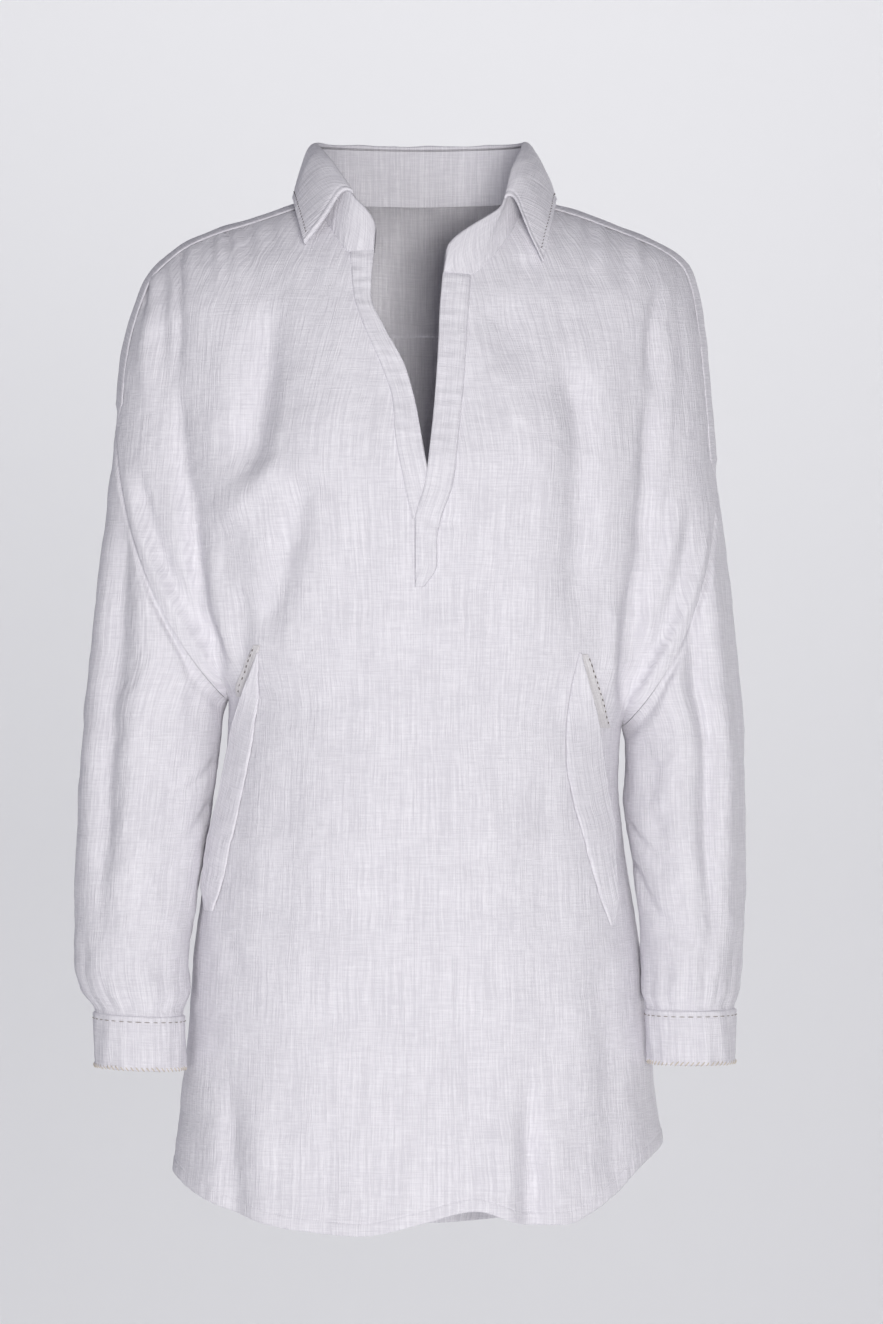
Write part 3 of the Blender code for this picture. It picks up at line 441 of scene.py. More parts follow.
# Creases of the sleeves: the angle round the arm, 0 at the outer side and growing over the front.
SleeveCrease = namedtuple("SleeveCrease", "a1 z1 a2 z2 width height fade_in fade_out")
SLEEVE_CREASES = {
    RIGHT: rows_of(SleeveCrease, [
        (46, -215, 60, -590, 12, -7.0, 0.2, 0.3),
        (76, -250, 84, -570, 12, 3.6, 0.3, 0.4),
        (24, -230, 34, -560, 14, 2.0, 0.3, 0.4),
        (128, -390, 118, -560, 14, -2.6, 0.3, 0.4),
        (100, -330, 140, -420, 11, -2.4, 0.3, 0.4),
        (168, -430, 100, -478, 9, -2.6, 0.1, 0.6),
        (172, -462, 120, -512, 9, -2.4, 0.1, 0.6),
        (150, -500, 60, -570, 12, -2.0, 0.2, 0.6),
        (42, -554, 34, -628, 8, -1.5, 0.5, 0.03),
        (62, -579, 60, -628, 6, -1.1, 0.6, 0.03),
        (80, -564, 84, -628, 8, -1.4, 0.6, 0.03),
        (104, -584, 102, -628, 6, -1.0, 0.6, 0.03),
        (124, -554, 128, -628, 9, -1.5, 0.6, 0.03),
        (150, -574, 152, -628, 8, -1.3, 0.6, 0.03),
        (12, -569, 8, -628, 8, -1.9, 0.6, 0.03),
        (205, -564, 210, -628, 10, -2.4, 0.6, 0.03),
        (240, -554, 236, -628, 9, -2.4, 0.6, 0.03),
        (270, -574, 274, -628, 8, -2.1, 0.6, 0.03),
        (305, -554, 300, -628, 9, -2.4, 0.6, 0.03),
        (332, -579, 334, -628, 7, -1.8, 0.6, 0.03),
        (260, -230, 290, -520, 16, -4.0, 0.3, 0.4),
        (310, -260, 320, -560, 14, -3.0, 0.3, 0.4),
        (190, -440, 250, -470, 10, -2.6, 0.1, 0.6),
    ]),
    LEFT: rows_of(SleeveCrease, [
        (70, -190, 72, -610, 10, -8.0, 0.2, 0.3),
        (96, -240, 100, -560, 18, 2.6, 0.3, 0.4),
        (48, -220, 50, -580, 10, 3.4, 0.3, 0.4),
        (22, -260, 26, -600, 10, -2.4, 0.3, 0.4),
        (132, -400, 120, -540, 14, -2.8, 0.3, 0.4),
        (168, -480, 112, -520, 9, -2.8, 0.1, 0.6),
        (172, -510, 124, -560, 9, -2.6, 0.1, 0.6),
        (150, -540, 70, -590, 11, -2.2, 0.2, 0.6),
        (36, -554, 42, -625, 8, -1.4, 0.5, 0.03),
        (58, -584, 60, -625, 6, -1.1, 0.6, 0.03),
        (78, -554, 76, -625, 8, -1.4, 0.6, 0.03),
        (98, -579, 100, -625, 6, -1.1, 0.6, 0.03),
        (120, -559, 124, -625, 8, -1.5, 0.6, 0.03),
        (146, -569, 150, -625, 9, -1.5, 0.6, 0.03),
        (12, -564, 14, -625, 8, -1.9, 0.6, 0.03),
        (206, -564, 202, -625, 9, -2.4, 0.6, 0.03),
        (236, -559, 240, -625, 9, -2.2, 0.6, 0.03),
        (268, -574, 264, -625, 8, -2.1, 0.6, 0.03),
        (300, -554, 304, -625, 9, -2.4, 0.6, 0.03),
        (330, -574, 326, -625, 8, -1.9, 0.6, 0.03),
        (262, -240, 286, -520, 16, -4.0, 0.3, 0.4),
        (312, -260, 318, -560, 14, -3.0, 0.3, 0.4),
        (192, -450, 246, -480, 10, -2.6, 0.1, 0.6),
    ]),
}


def through(keys, values, at):
    """Smooth curve through (keys, values) that never overshoots, read at `at`."""
    keys, values = np.asarray(keys, float), np.asarray(values, float)
    step = np.diff(keys)
    slope = np.diff(values) / step
    before, after = slope[:-1], slope[1:]
    same_way = before * after > 0
    total = np.where(same_way, before + after, 1.0)
    tangent = np.concatenate(([slope[0]], np.where(same_way, 2 * before * after / total, 0), [slope[-1]]))
    at = np.clip(np.asarray(at, float), keys[0], keys[-1])
    i = np.clip(np.searchsorted(keys, at, side="right") - 1, 0, len(step) - 1)
    s = (at - keys[i]) / step[i]
    return ((1 + 2 * s) * (1 - s) ** 2 * values[i] + s * (1 - s) ** 2 * step[i] * tangent[i]
            + s * s * (3 - 2 * s) * values[i + 1] + s * s * (s - 1) * step[i] * tangent[i + 1])


def column(table, name, at, key="z"):
    """One named column of a table, read at `at` along its key column."""
    rows = sorted(table, key=lambda row: getattr(row, key))
    return through([getattr(row, key) for row in rows], [getattr(row, name) for row in rows], at)


def smooth_step(t):
    t = np.clip(t, 0, 1)
    return t * t * (3 - 2 * t)


def rounded(t):
    """Quarter circle: 0 with an upright tangent at t = 0, 1 from t = 1 on."""
    return np.sqrt(1 - (1 - np.clip(t, 0, 1)) ** 2)


def smooth_max(a, b, width):
    return (a + b + np.sqrt((a - b) ** 2 + width * width)) / 2


def faded(t, fade_in, fade_out):
    return smooth_step(t / fade_in) * smooth_step((1 - t) / fade_out)


def crease_height(x, z, face):
    """Sum of one face's creases at (x, z)."""
    total = np.zeros(np.broadcast(x, z).shape)
    for crease in CREASES[face]:
        ends = np.array([[crease.x1, crease.z1], [crease.x2, crease.z2], [crease.x3, crease.z3]], float)
        steps = np.linspace(0, 1, CREASE_STEPS + 1)
        path = np.stack([through([0, 0.5, 1], ends[:, k], steps) for k in (0, 1)], -1)
        near = np.full(total.shape, np.inf)
        along = np.zeros(total.shape)
        for i in range(len(path) - 1):
            start, step = path[i], path[i + 1] - path[i]
            t = np.clip(((x - start[0]) * step[0] + (z - start[1]) * step[1]) / (step @ step), 0, 1)
            distance = (x - start[0] - t * step[0]) ** 2 + (z - start[1] - t * step[1]) ** 2
            closer = distance < near
            near = np.where(closer, distance, near)
            along = np.where(closer, (i + t) / (len(path) - 1), along)
        fade = faded(along, crease.fade_in, crease.fade_out)
        width = crease.width * (0.8 + 0.4 * along)
        total = total + crease.height * fade * np.exp(-near / width ** 2)
    return total


def sleeve_crease_height(side, angle, z):
    total = np.zeros(angle.shape)
    for crease in SLEEVE_CREASES[side]:
        t = np.clip((z - crease.z1) / (crease.z2 - crease.z1), 0, 1)
        off = np.degrees(angle) - (crease.a1 + (crease.a2 - crease.a1) * t)
        off = (off + 180) % 360 - 180
        strength = crease.height * faded(t, crease.fade_in, crease.fade_out)
        total += strength * np.exp(-(off / crease.width) ** 2)
    return total


def crumple(u, v, size, count, low, high, seed):
    """Small uneven waves over a cloth, from `count` seeded directions and lengths in mm."""
    draw = np.random.default_rng(seed)
    total = np.zeros(np.broadcast(u, v).shape)
    for _ in range(count):
        way, wave, phase = draw.uniform(0, math.pi), draw.uniform(low, high), draw.uniform(0, 6.28)
        bend = draw.uniform(-0.5, 0.5)
        along = u * math.cos(way) + v * math.sin(way)
        across = v * math.cos(way) - u * math.sin(way)
        total += np.sin(6.28 * along / wave + phase + bend * np.sin(6.28 * across / (wave * 2.3)))
    return size * total / math.sqrt(count)


def arm_frame(side, z):
    outer, inner = column(ARM[side], "outer", z), column(ARM[side], "inner", z)
    front, back = column(ARM[side], "front", z), column(ARM[side], "back", z)
    return (outer + inner) / 2, (outer - inner) / 2, (front + back) / 2, (back - front) / 2


def arm_depth(side, x, z, face):
    """How far an arm's section reaches towards `face` at (x, z)."""
    centre, half_x, middle, half_y = arm_frame(side, z)
    across = np.clip(np.abs(x * side - centre) / half_x, 0, 1)
    return face * middle + half_y * np.sqrt(1 - across ** 2)


def ridge_y(z):
    return RIDGE_Y * smooth_step((z - RIDGE_Y_LOW) / (RIDGE_Y_HIGH - RIDGE_Y_LOW))


def skin(x, z, face):
    """Y of the smooth cloth at (x, z), on the front or the back of the garment."""
    x, z = np.asarray(x, float), np.asarray(z, float)
    half = np.where(x < 0, column(BODY, "right", z), column(BODY, "left", z))
    inside = 1 - (np.abs(x) / half) ** BODY_ROUND
    depth = column(BODY, "front" if face == FRONT else "back", z)
    depth = depth * np.sign(inside) * np.abs(inside) ** (1 / BODY_ROUND)
    for side in (RIGHT, LEFT):
        above = z - UNDERARM_Z[side]
        blend = BLEND * smooth_step(above / BLEND_HEIGHT)
        joined = smooth_max(depth, arm_depth(side, x, z, face), blend)
        depth = np.where((above >= 0) & (x * side > 0), joined, np.maximum(depth, 0))
    ridge_z = np.where(x < 0, column(RIDGE[RIGHT], "z", -x, "x"), column(RIDGE[LEFT], "z", x, "x"))
    to_arm = smooth_step((np.abs(x) - ROUNDING_FROM_X) / (ROUNDING_TO_X - ROUNDING_FROM_X))
    radius = RIDGE_RADIUS_AT_NECK + (RIDGE_RADIUS_AT_ARM - RIDGE_RADIUS_AT_NECK) * to_arm
    if face == BACK:
        radius = np.minimum(radius, RIDGE_RADIUS_BACK)
    middle = ridge_y(z)
    return middle + face * depth * rounded((ridge_z - z) / radius)


def on_skin(points, face):
    points = np.asarray(points, float)
    return np.stack([points[..., 0], skin(points[..., 0], points[..., 1], face), points[..., 1]], -1)


def resample(points, count):
    """`count` + 1 points evenly spaced along a polyline."""
    points = np.asarray(points, float)
    length = np.concatenate(([0], np.cumsum(np.linalg.norm(np.diff(points, axis=0), axis=1))))
    at = np.linspace(0, length[-1], count + 1)
    return np.stack([np.interp(at, length, points[:, k]) for k in range(points.shape[1])], -1)


def underarm(side):
    z = UNDERARM_Z[side]
    return Point(side * float(column(BODY, SIDE_NAME[side], z)), z)


def armhole(side, a):
    """(x, z) on the armhole seam, a = 0 at the shoulder line and 1 at the underarm."""
    top, bend = ARMHOLE[side]
    under = underarm(side)
    a = np.asarray(a, float)
    x = (1 - a) ** 2 * top.x + 2 * a * (1 - a) * bend.x + a * a * under.x
    z = (1 - a) ** 2 * top.z + 2 * a * (1 - a) * bend.z + a * a * under.z
    return np.stack([x, z], -1)


def side_edge(side, start, armhole_rows):
    """(x, z) down the edge of a panel: the armhole, then the side seam to the hem."""
    upper = armhole(side, np.linspace(start, 1, armhole_rows + 1))
    hem_z = HEM[FRONT][0 if side == RIGHT else -1].z
    z = np.linspace(UNDERARM_Z[side], hem_z, SIDE_ROWS * FINE + 1)[1:]
    return np.concatenate([upper, np.stack([side * column(BODY, SIDE_NAME[side], z), z], -1)])


def half_panel(face, side, top, centre, start, armhole_rows):
    """Grid of (x, z), rows from the top down, columns from the centre out to one side."""
    edge = side_edge(side, start, armhole_rows)
    rows, columns = len(edge), len(top)
    even = np.linspace(0, 1, columns)
    crowded = 0.75 * np.sin(even * math.pi / 2) + 0.25 * even
    hem_x = centre[-1][0] + (edge[-1][0] - centre[-1][0]) * crowded
    hem = HEM[face]
    hem_z = through([point.x for point in hem], [point.z for point in hem], hem_x)
    grid = np.zeros((rows, columns, 2))
    for r in range(rows):
        v = r / (rows - 1)
        share = crowded + (even - crowded) * 0.7 * smooth_step((armhole_rows - r) / (3 * FINE))
        grid[r] = centre[r] + (edge[r] - centre[r]) * share[:, None]
        grid[r] += (1 - v) ** 4 * (top - (centre[0] + (edge[0] - centre[0]) * share[:, None]))
        grid[r, :, 1] += v ** 3 * (hem_z - (centre[-1][1] + (edge[-1][1] - centre[-1][1]) * crowded))
        grid[r, -1] = edge[r]
    return grid


def ridge_points(side, count):
    """(x, z) along the shoulder line from the neck to the armhole, and the way in from it."""
    neck_x, end_x = abs(NECK_FRONT[side][-1].x), abs(ARMHOLE[side][0].x)
    x = np.linspace(neck_x, end_x, 200)
    line = np.stack([x, column(RIDGE[side], "z", x, "x")], -1)
    line[-1] = (end_x, ARMHOLE[side][0].z)
    line = resample(line, count)
    along = np.gradient(line, axis=0)
    along /= np.linalg.norm(along, axis=1)[:, None]
    inward = np.stack([along[:, 1], -along[:, 0]], -1)
    line[:, 0] *= side
    inward[:, 0] *= side
    return line, inward


def front_seam(side, lip=YOKE_LIP):
    """(x, z) of the yoke's front seam, from the neck to the armhole."""
    line, inward = ridge_points(side, SHOULDER_COLUMNS * FINE)
    seam = line + inward * lip
    seam[0] = line[0] + np.array([0, -lip])
    seam[-1] = armhole(side, ARMHOLE_START_FRONT * lip / YOKE_LIP)
    return seam


def slit_edge(name, rows):
    """(x, z) down one named edge of the slit, from the neckline to its bottom."""
    top_z = NECK_FRONT[RIGHT if name.startswith("right") else LEFT][0].z
    z = np.linspace(top_z, SLIT_BOTTOM_Z, rows + 1)
    return np.stack([column(SLIT, name, z), z], -1)


def front_top(side):
    """(x, z) along the front's upper edge, from the slit over the neckline to the armhole."""
    seam = front_seam(side)
    corner = slit_edge(SIDE_NAME[side] + "_seam", SLIT_ROWS)[0]
    neck = [tuple(corner)] + [tuple(point) for point in NECK_FRONT[side][1:-1]] + [tuple(seam[0])]
    return np.concatenate([resample(neck, NECK_FRONT_COLUMNS * FINE)[:-1], seam])


def centre_edge(side, rows):
    """(x, z) down the front's inner edge: the slit's seam, then near the centre to the hem."""
    slit_rows = SLIT_ROWS * FINE
    seam = slit_edge(SIDE_NAME[side] + "_seam", slit_rows)
    seam[-1] = (SLIT_BOTTOM[0 if side == RIGHT else 1], SLIT_BOTTOM_Z)
    hem = HEM[FRONT]
    end_x = side * 9.0
    end_z = through([point.x for point in hem], [point.z for point in hem], end_x)
    lower = np.linspace(seam[-1], (end_x, end_z), rows - slit_rows + 1)[1:]
    return np.concatenate([seam, lower])


def grid_normals(points, sign, around=False):
    """Outward directions of a grid of points; `around` says that its last column is its first."""
    down, along = np.gradient(points, axis=0), np.gradient(points, axis=1)
    if around:
        along[:, 0] = along[:, -1] = points[:, 1] - points[:, -2]
    normal = np.cross(down, along) * sign
    return normal / np.maximum(np.linalg.norm(normal, axis=-1), 1e-9)[..., None]


def arc(points, axis):
    """Length along a grid's rows (axis 1) or columns (axis 0), from its first point on."""
    length = np.linalg.norm(np.diff(points, axis=axis), axis=-1)
    pad = [(1, 0) if k == axis else (0, 0) for k in range(2)]
    return np.pad(np.cumsum(length, axis=axis), pad)


def thread_map(points):
    """Flat place of each point on its cloth in metres, with the threads across and down."""
    across = arc(points, 1)
    return np.stack([across - across[:, [across.shape[1] // 2]], -arc(points, 0)], -1) * MM


def straight_map(points):
    """As thread_map, for a panel that hangs straight: its threads run level and upright."""
    x, y = points[..., 0], points[..., 1]
    return np.stack([x + np.tanh(x / 30) * 0.9 * (115 - np.abs(y)), points[..., 2]], -1) * MM


def turned_hem(points, normals, height):
    """Replaces the lowest rows by closer ones, with a groove at the stitches, turned in at the edge."""
    tail = slice(-HEM_ROWS, None)
    cut = [points[tail], normals[tail], height[tail][..., None]]
    up = arc(points[tail][::-1], 0)[::-1]
    rows = []
    for step, inside in [(d, False) for d in HEM_STEPS] + [(d, True) for d in HEM_INSIDE]:
        row = []
        for c in range(points.shape[1]):
            at = min(step, up[0, c] * 0.97)
            row.append(np.concatenate([[np.interp(at, up[::-1, c], part[::-1, c, k])
                                        for k in range(part.shape[-1])] for part in cut]))
        row = np.array(row)
        lift = -HEM_FOLD if inside else HEM_LIFT * smooth_step(step / 1.2) * smooth_step((13 - step) / 3)
        groove = -0.7 * math.exp(-((step - HEM_STITCH) / 0.9) ** 2)
        row[:, 6] += lift + (0 if inside else groove)
        rows.append(row)
    rows = np.stack(rows)
    keep = slice(None, -HEM_ROWS)
    return (np.concatenate([points[keep], rows[..., :3]]), np.concatenate([normals[keep], rows[..., 3:6]]),
            np.concatenate([height[keep], rows[..., 6]]))


def rim_steps(length, count, rim):
    """Places from 0 to 1 along a strip, close together within `rim` of both ends."""
    near = rim * np.array([0, 0.06, 0.2, 0.45, 0.75]) / length
    middle = np.linspace(rim / length, 1 - rim / length, count)
    return np.concatenate([near, middle, 1 - near[::-1]])


def lying_grid(inner, outer, count, rim):
    """Grid of (x, z) between two edges given as polylines, rows along them, columns across."""
    inner, outer = np.asarray(inner, float), np.asarray(outer, float)
    length = np.linalg.norm(np.diff((inner + outer) / 2, axis=0), axis=1).sum()
    width = np.linalg.norm(outer - inner, axis=1).max()
    down = rim_steps(length, max(8, int(length / 2)), rim)
    across = rim_steps(width, count, min(rim, width * 0.3))
    key = np.linspace(0, 1, len(inner))
    first = np.stack([through(key, inner[:, k], down) for k in (0, 1)], -1)
    last = np.stack([through(key, outer[:, k], down) for k in (0, 1)], -1)
    return first[:, None] + (last - first)[:, None] * across[None, :, None]


def pillow(points, normals, thick, rim, extra=0.0, around=False):
    """Top and under side of a flat piece with rounded edges, `thick` at its middle."""
    down, across = arc(points, 0), arc(points, 1)
    distance = np.minimum(down, down[-1:] - down)
    if not around:
        distance = np.minimum(distance, np.minimum(across, across[:, -1:] - across))
    shape = rounded(distance / rim)
    top = points + normals * (thick * shape + extra * np.minimum(1, distance / rim))[..., None]
    flat = thread_map(points)
    return [(top, flat), (points[:, ::-1], flat[:, ::-1])]


def make(name, patches, material, flip=False):
    """Mesh object of welded grids, each given as points in mm and thread places in metres."""
    corners, quads, flats = [], [], []
    count = 0
    for points, flat in patches:
        rows, columns = points.shape[:2]
        index = np.arange(rows * columns).reshape(rows, columns) + count
        quad = np.stack([index[:-1, :-1], index[1:, :-1], index[1:, 1:], index[:-1, 1:]], -1).reshape(-1, 4)
        quads.append(quad[:, ::-1] if flip else quad)
        corners.append(points.reshape(-1, 3))
        flats.append(flat.reshape(-1, 2))
        count += rows * columns
    corners, quads, flats = np.concatenate(corners), np.concatenate(quads), np.concatenate(flats)
    _, first, same = np.unique(np.round(corners * WELD_STEPS).astype(np.int64), axis=0,
                               return_index=True, return_inverse=True)
    same = same.reshape(-1)
    welded = same[quads]
    sound = np.array([len(set(quad)) >= 3 for quad in welded.tolist()])
    mesh = bpy.data.meshes.new(name)
    faces, places = [], []
    for quad, old in zip(welded[sound].tolist(), quads[sound].tolist()):
        kept = [k for k in range(4) if quad[k] != quad[k - 1]]
        faces.append([quad[k] for k in kept])
        places += [old[k] for k in kept]
    mesh.from_pydata((corners[first] * MM).tolist(), [], faces)
    mesh.uv_layers.new(name="threads").data.foreach_set("uv", flats[places].reshape(-1))
    mesh.shade_smooth()
    mesh.materials.append(material)
    thing = bpy.data.objects.new(name, mesh)
    bpy.context.scene.collection.objects.link(thing)
    return thing


def wear(thing, nodes):
    """Attaches a sheet of cloth to the root body and hides the CAD nodes that it stands for."""
    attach(thing, "root")
    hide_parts(*nodes)
    return thing


def link(tree, source, output, target, name):
    tree.links.new(source.outputs[output], target.inputs[name])


def thread_noise(tree, uv, scale_u, scale_v, detail=2.0):
    """Noise stretched along one set of threads; scales are per metre of cloth."""
    mapping = tree.nodes.new("ShaderNodeMapping")
    mapping.inputs["Scale"].default_value = (scale_u, scale_v, 1)
    noise = tree.nodes.new("ShaderNodeTexNoise")
    noise.inputs["Scale"].default_value = 1.0
    noise.inputs["Detail"].default_value = detail
    link(tree, uv, "UV", mapping, "Vector")
    link(tree, mapping, "Vector", noise, "Vector")
    return noise


def blend_values(tree, first, second, operation="ADD"):
    made = tree.nodes.new("ShaderNodeMath")
    made.operation = operation
    for source, index in ((first, 0), (second, 1)):
        if isinstance(source, (int, float)):
            made.inputs[index].default_value = source
        else:
            tree.links.new(source.outputs[0], made.inputs[index])
    return made


def linen(name, light, dark):
    """Woven linen: uneven threads both ways, with thicker ones, and small crumples all over."""
    material = bpy.data.materials.new(name)
    material.use_nodes = True
    tree = material.node_tree
    shader = tree.nodes["Principled BSDF"]
    shader.inputs["Roughness"].default_value = 0.92
    shader.inputs["Specular IOR Level"].default_value = 0.18
    shader.inputs["Sheen Weight"].default_value = 0.1
    shader.inputs["Sheen Roughness"].default_value = 0.5
    uv = tree.nodes.new("ShaderNodeUVMap")
    uv.uv_map = "threads"
    warp, weft = thread_noise(tree, uv, 1250, 55), thread_noise(tree, uv, 80, 1300)
    slub_down, slub_across = thread_noise(tree, uv, 640, 14, 1.0), thread_noise(tree, uv, 30, 620, 1.0)
    cloud = thread_noise(tree, uv, 45, 20, 3.0)
    crumples = thread_noise(tree, uv, 190, 70, 3.0)
    weave = blend_values(tree, warp, blend_values(tree, weft, 0.7, "MULTIPLY"))
    slubs = blend_values(tree, slub_down, blend_values(tree, slub_across, 0.45, "MULTIPLY"))
    threads = blend_values(tree, weave, slubs)
    clouded = blend_values(tree, threads, blend_values(tree, cloud, 0.45, "MULTIPLY"))
    tone = blend_values(tree, clouded, 1 / NOISE_WEIGHT, "MULTIPLY")
    ramp = tree.nodes.new("ShaderNodeValToRGB")
    ramp.color_ramp.elements[0].position, ramp.color_ramp.elements[1].position = 0.42, 0.58
    ramp.color_ramp.elements[0].color, ramp.color_ramp.elements[1].color = (*dark, 1), (*light, 1)
    link(tree, tone, 0, ramp, "Fac")
    link(tree, ramp, "Color", shader, "Base Color")
    height = blend_values(tree, threads, blend_values(tree, crumples, 1.2, "MULTIPLY"))
    bumps = tree.nodes.new("ShaderNodeBump")
    bumps.inputs["Strength"].default_value = 0.5
    bumps.inputs["Distance"].default_value = 0.0012
    link(tree, height, 0, bumps, "Height")
    link(tree, bumps, "Normal", shader, "Normal")
    return material


def thread(name, colour):
    material = bpy.data.materials.new(name)
    material.use_nodes = True
    shader = material.node_tree.nodes["Principled BSDF"]
    shader.inputs["Base Color"].default_value = (*colour, 1)
    shader.inputs["Roughness"].default_value = 0.8
    shader.inputs["Specular IOR Level"].default_value = 0.25
    return material


def stitches(name, places, along, out, stitch, material):
    """One mesh of short rounded stitches, each bent so that its ends go into the cloth."""
    rings = np.array([-1, -0.86, -0.5, 0, 0.5, 0.86, 1])
    n = STITCH_SIDES
    around = np.linspace(0, 2 * math.pi, n + 1)[:-1]
    corners, faces = [], []
    for place, way, up in zip(places, along, out):
        way = way / np.linalg.norm(way)
        up = up - way * (up @ way)
        up = up / np.linalg.norm(up)
        across = np.cross(way, up)
        base = len(corners)
        long_, wide = stitch.length * rng.uniform(0.85, 1.15), stitch.radius * rng.uniform(0.9, 1.1)
        for t in rings:
            swell = wide * math.sqrt(1 - 0.94 * t * t)
            middle = place + way * t * long_ / 2 - up * wide * 1.1 * t * t
            corners += [middle + swell * (math.cos(a) * across + math.sin(a) * up) for a in around]
        for r in range(len(rings) - 1):
            low, high = base + r * n, base + (r + 1) * n
            for c in range(n):
                d = (c + 1) % n
                faces.append([low + c, low + d, high + d, high + c])
        faces += [[base + c for c in reversed(range(n))], [high + c for c in range(n)]]
    mesh = bpy.data.meshes.new(name)
    mesh.from_pydata((np.array(corners) * MM).tolist(), [], faces)
    mesh.shade_smooth()
    mesh.materials.append(material)
    thing = bpy.data.objects.new(name, mesh)
    bpy.context.scene.collection.objects.link(thing)
    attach(thing, "root")
    return thing


def dashes(line, spacing):
    """Evenly spaced places along a 3-D polyline, with its direction at each."""
    count = max(2, int(np.linalg.norm(np.diff(line, axis=0), axis=1).sum() / spacing))
    fine = resample(line, count * 2)
    return fine[1::2], (fine[2::2] - fine[:-2:2])


def cloth_height(x, z, face):
    waves = crumple(x, z, 0.42, 14, 26, 70, 11 + face) + crumple(x, z, 0.16, 12, 9, 20, 21 + face)
    return crease_height(x, z, face) + waves


def place(points, face, lift):
    """Points and outward directions on the creased cloth over (x, z), moved out by `lift`."""
    points = np.asarray(points, float)
    x, z = points[..., 0], points[..., 1]
    step = 0.8
    slope_x = (skin(x + step, z, face) - skin(x - step, z, face)) / (2 * step)
    slope_z = (skin(x, z + step, face) - skin(x, z - step, face)) / (2 * step)
    normal = np.stack([-slope_x, np.ones_like(x), -slope_z], -1) * face
    normal /= np.linalg.norm(normal, axis=-1)[..., None]
    height = cloth_height(x, z, face) + lift
    return on_skin(points, face) + normal * height[..., None], normal


def seam_ridge(distance):
    """The seam's turned-in edges under the cloth, seen as a low ridge beside it."""
    return 0.7 * np.exp(-((distance - 4.5) / 2.6) ** 2)


def panel(face, grid, armhole_rows):
    """3-D grid of the front or the back, flat where it meets its seams."""
    points = on_skin(grid, face)
    normals = grid_normals(points, -face)
    across = arc(points, 1)
    side = np.minimum(across, across[:, -1:] - across)
    height = cloth_height(grid[..., 0], grid[..., 1], face) * smooth_step(side / 14)
    rows = np.arange(len(points))[:, None]
    height *= smooth_step((arc(points, 0) + 1) / 9)
    share = np.clip(rows / armhole_rows, 0, 1.03)
    height += seam_ridge(side) * smooth_step((1.03 - share) * 9) * 0.6
    if face == FRONT:
        bulge = smooth_step((share - 0.12) * 4) * smooth_step((1.03 - share) * 5)
        height += ARMHOLE_BULGE * bulge * np.exp(-((side - 8) / 5.5) ** 2)
    height -= TOP_DROP * smooth_step(1 - arc(points, 0) / 5)
    to_hem = arc(points[::-1], 0)[::-1]
    pull = np.sin(across / 1.9 + 2.2 * np.sin(across / 17.0)) * (0.6 + 0.4 * np.sin(across / 6.3))
    height += 0.4 * pull * smooth_step(to_hem / 2) * smooth_step((15 - to_hem) / 6)
    points, normals, height = turned_hem(points, normals, height)
    return points + normals * height[..., None]


def front_piece(material):
    armhole_rows = ARMHOLE_ROWS_FRONT * FINE
    rows = armhole_rows + SIDE_ROWS * FINE + 1
    halves = {side: half_panel(FRONT, side, front_top(side), centre_edge(side, rows - 1),
                               ARMHOLE_START_FRONT, armhole_rows) for side in (RIGHT, LEFT)}
    right, left = halves[RIGHT][:, ::-1], halves[LEFT]
    grid = np.concatenate([right, (right[:, -1:] + left[:, :1]) / 2, left], axis=1)
    points = panel(FRONT, grid, armhole_rows)
    flat = straight_map(points)
    half = right.shape[1]
    slit = SLIT_ROWS * FINE
    parts = [(slice(None), slice(None, half)), (slice(None), slice(half + 1, None)),
             (slice(slit, None), slice(half - 1, half + 2))]
    return make("front_panel", [(points[part], flat[part]) for part in parts], material)


def yoke_seam(side):
    """(x, z) of the yoke's seam across the back, from the centre to the armhole."""
    end = armhole(side, ARMHOLE_START_BACK)
    path = [(side * point.x, point.z) for point in YOKE_SEAM] + [tuple(end)]
    inner = resample(path, 60)
    return resample(inner, (NECK_BACK_COLUMNS // 2 + SHOULDER_COLUMNS) * FINE)


def back_piece(material):
    armhole_rows = ARMHOLE_ROWS_BACK * FINE
    rows = armhole_rows + SIDE_ROWS * FINE + 1
    end_z = through([point.x for point in HEM[BACK]], [point.z for point in HEM[BACK]], 0)
    centre = np.linspace((0, YOKE_SEAM[0].z), (0, end_z), rows)
    halves = {side: half_panel(BACK, side, yoke_seam(side), centre, ARMHOLE_START_BACK, armhole_rows)
              for side in (RIGHT, LEFT)}
    grid = np.concatenate([halves[RIGHT][:, ::-1], halves[LEFT][:, 1:]], axis=1)
    points = panel(BACK, grid, armhole_rows)
    return make("back_panel", [(points, straight_map(points))], material, flip=True)


def half_yoke(side, shares):
    """Grid of half the yoke's points, rows from the shoulder line to the back seam."""
    ridge = ridge_points(side, SHOULDER_COLUMNS * FINE)[0]
    neck_columns = NECK_BACK_COLUMNS // 2 * FINE
    neck_x = np.linspace(0, ridge[0][0], neck_columns + 1)[:-1]
    top = np.concatenate([np.stack([neck_x, np.full(neck_columns, NECK_BACK_Z)], -1), ridge])
    bottom = yoke_seam(side)
    rows = []
    for s in shares:
        row = top + (bottom - top) * s
        row[-1] = armhole(side, ARMHOLE_START_BACK * s)
        rows.append(on_skin(row, BACK))
    rows[0][neck_columns:, 1] = ridge_y(rows[0][neck_columns:, 2])
    return np.stack(rows)


def yoke_shares():
    share = 1 - np.cos(np.linspace(0, math.pi / 2, YOKE_ROWS * FINE + 1))
    return 0.5 * share + 0.5 * np.linspace(0, 1, YOKE_ROWS * FINE + 1)


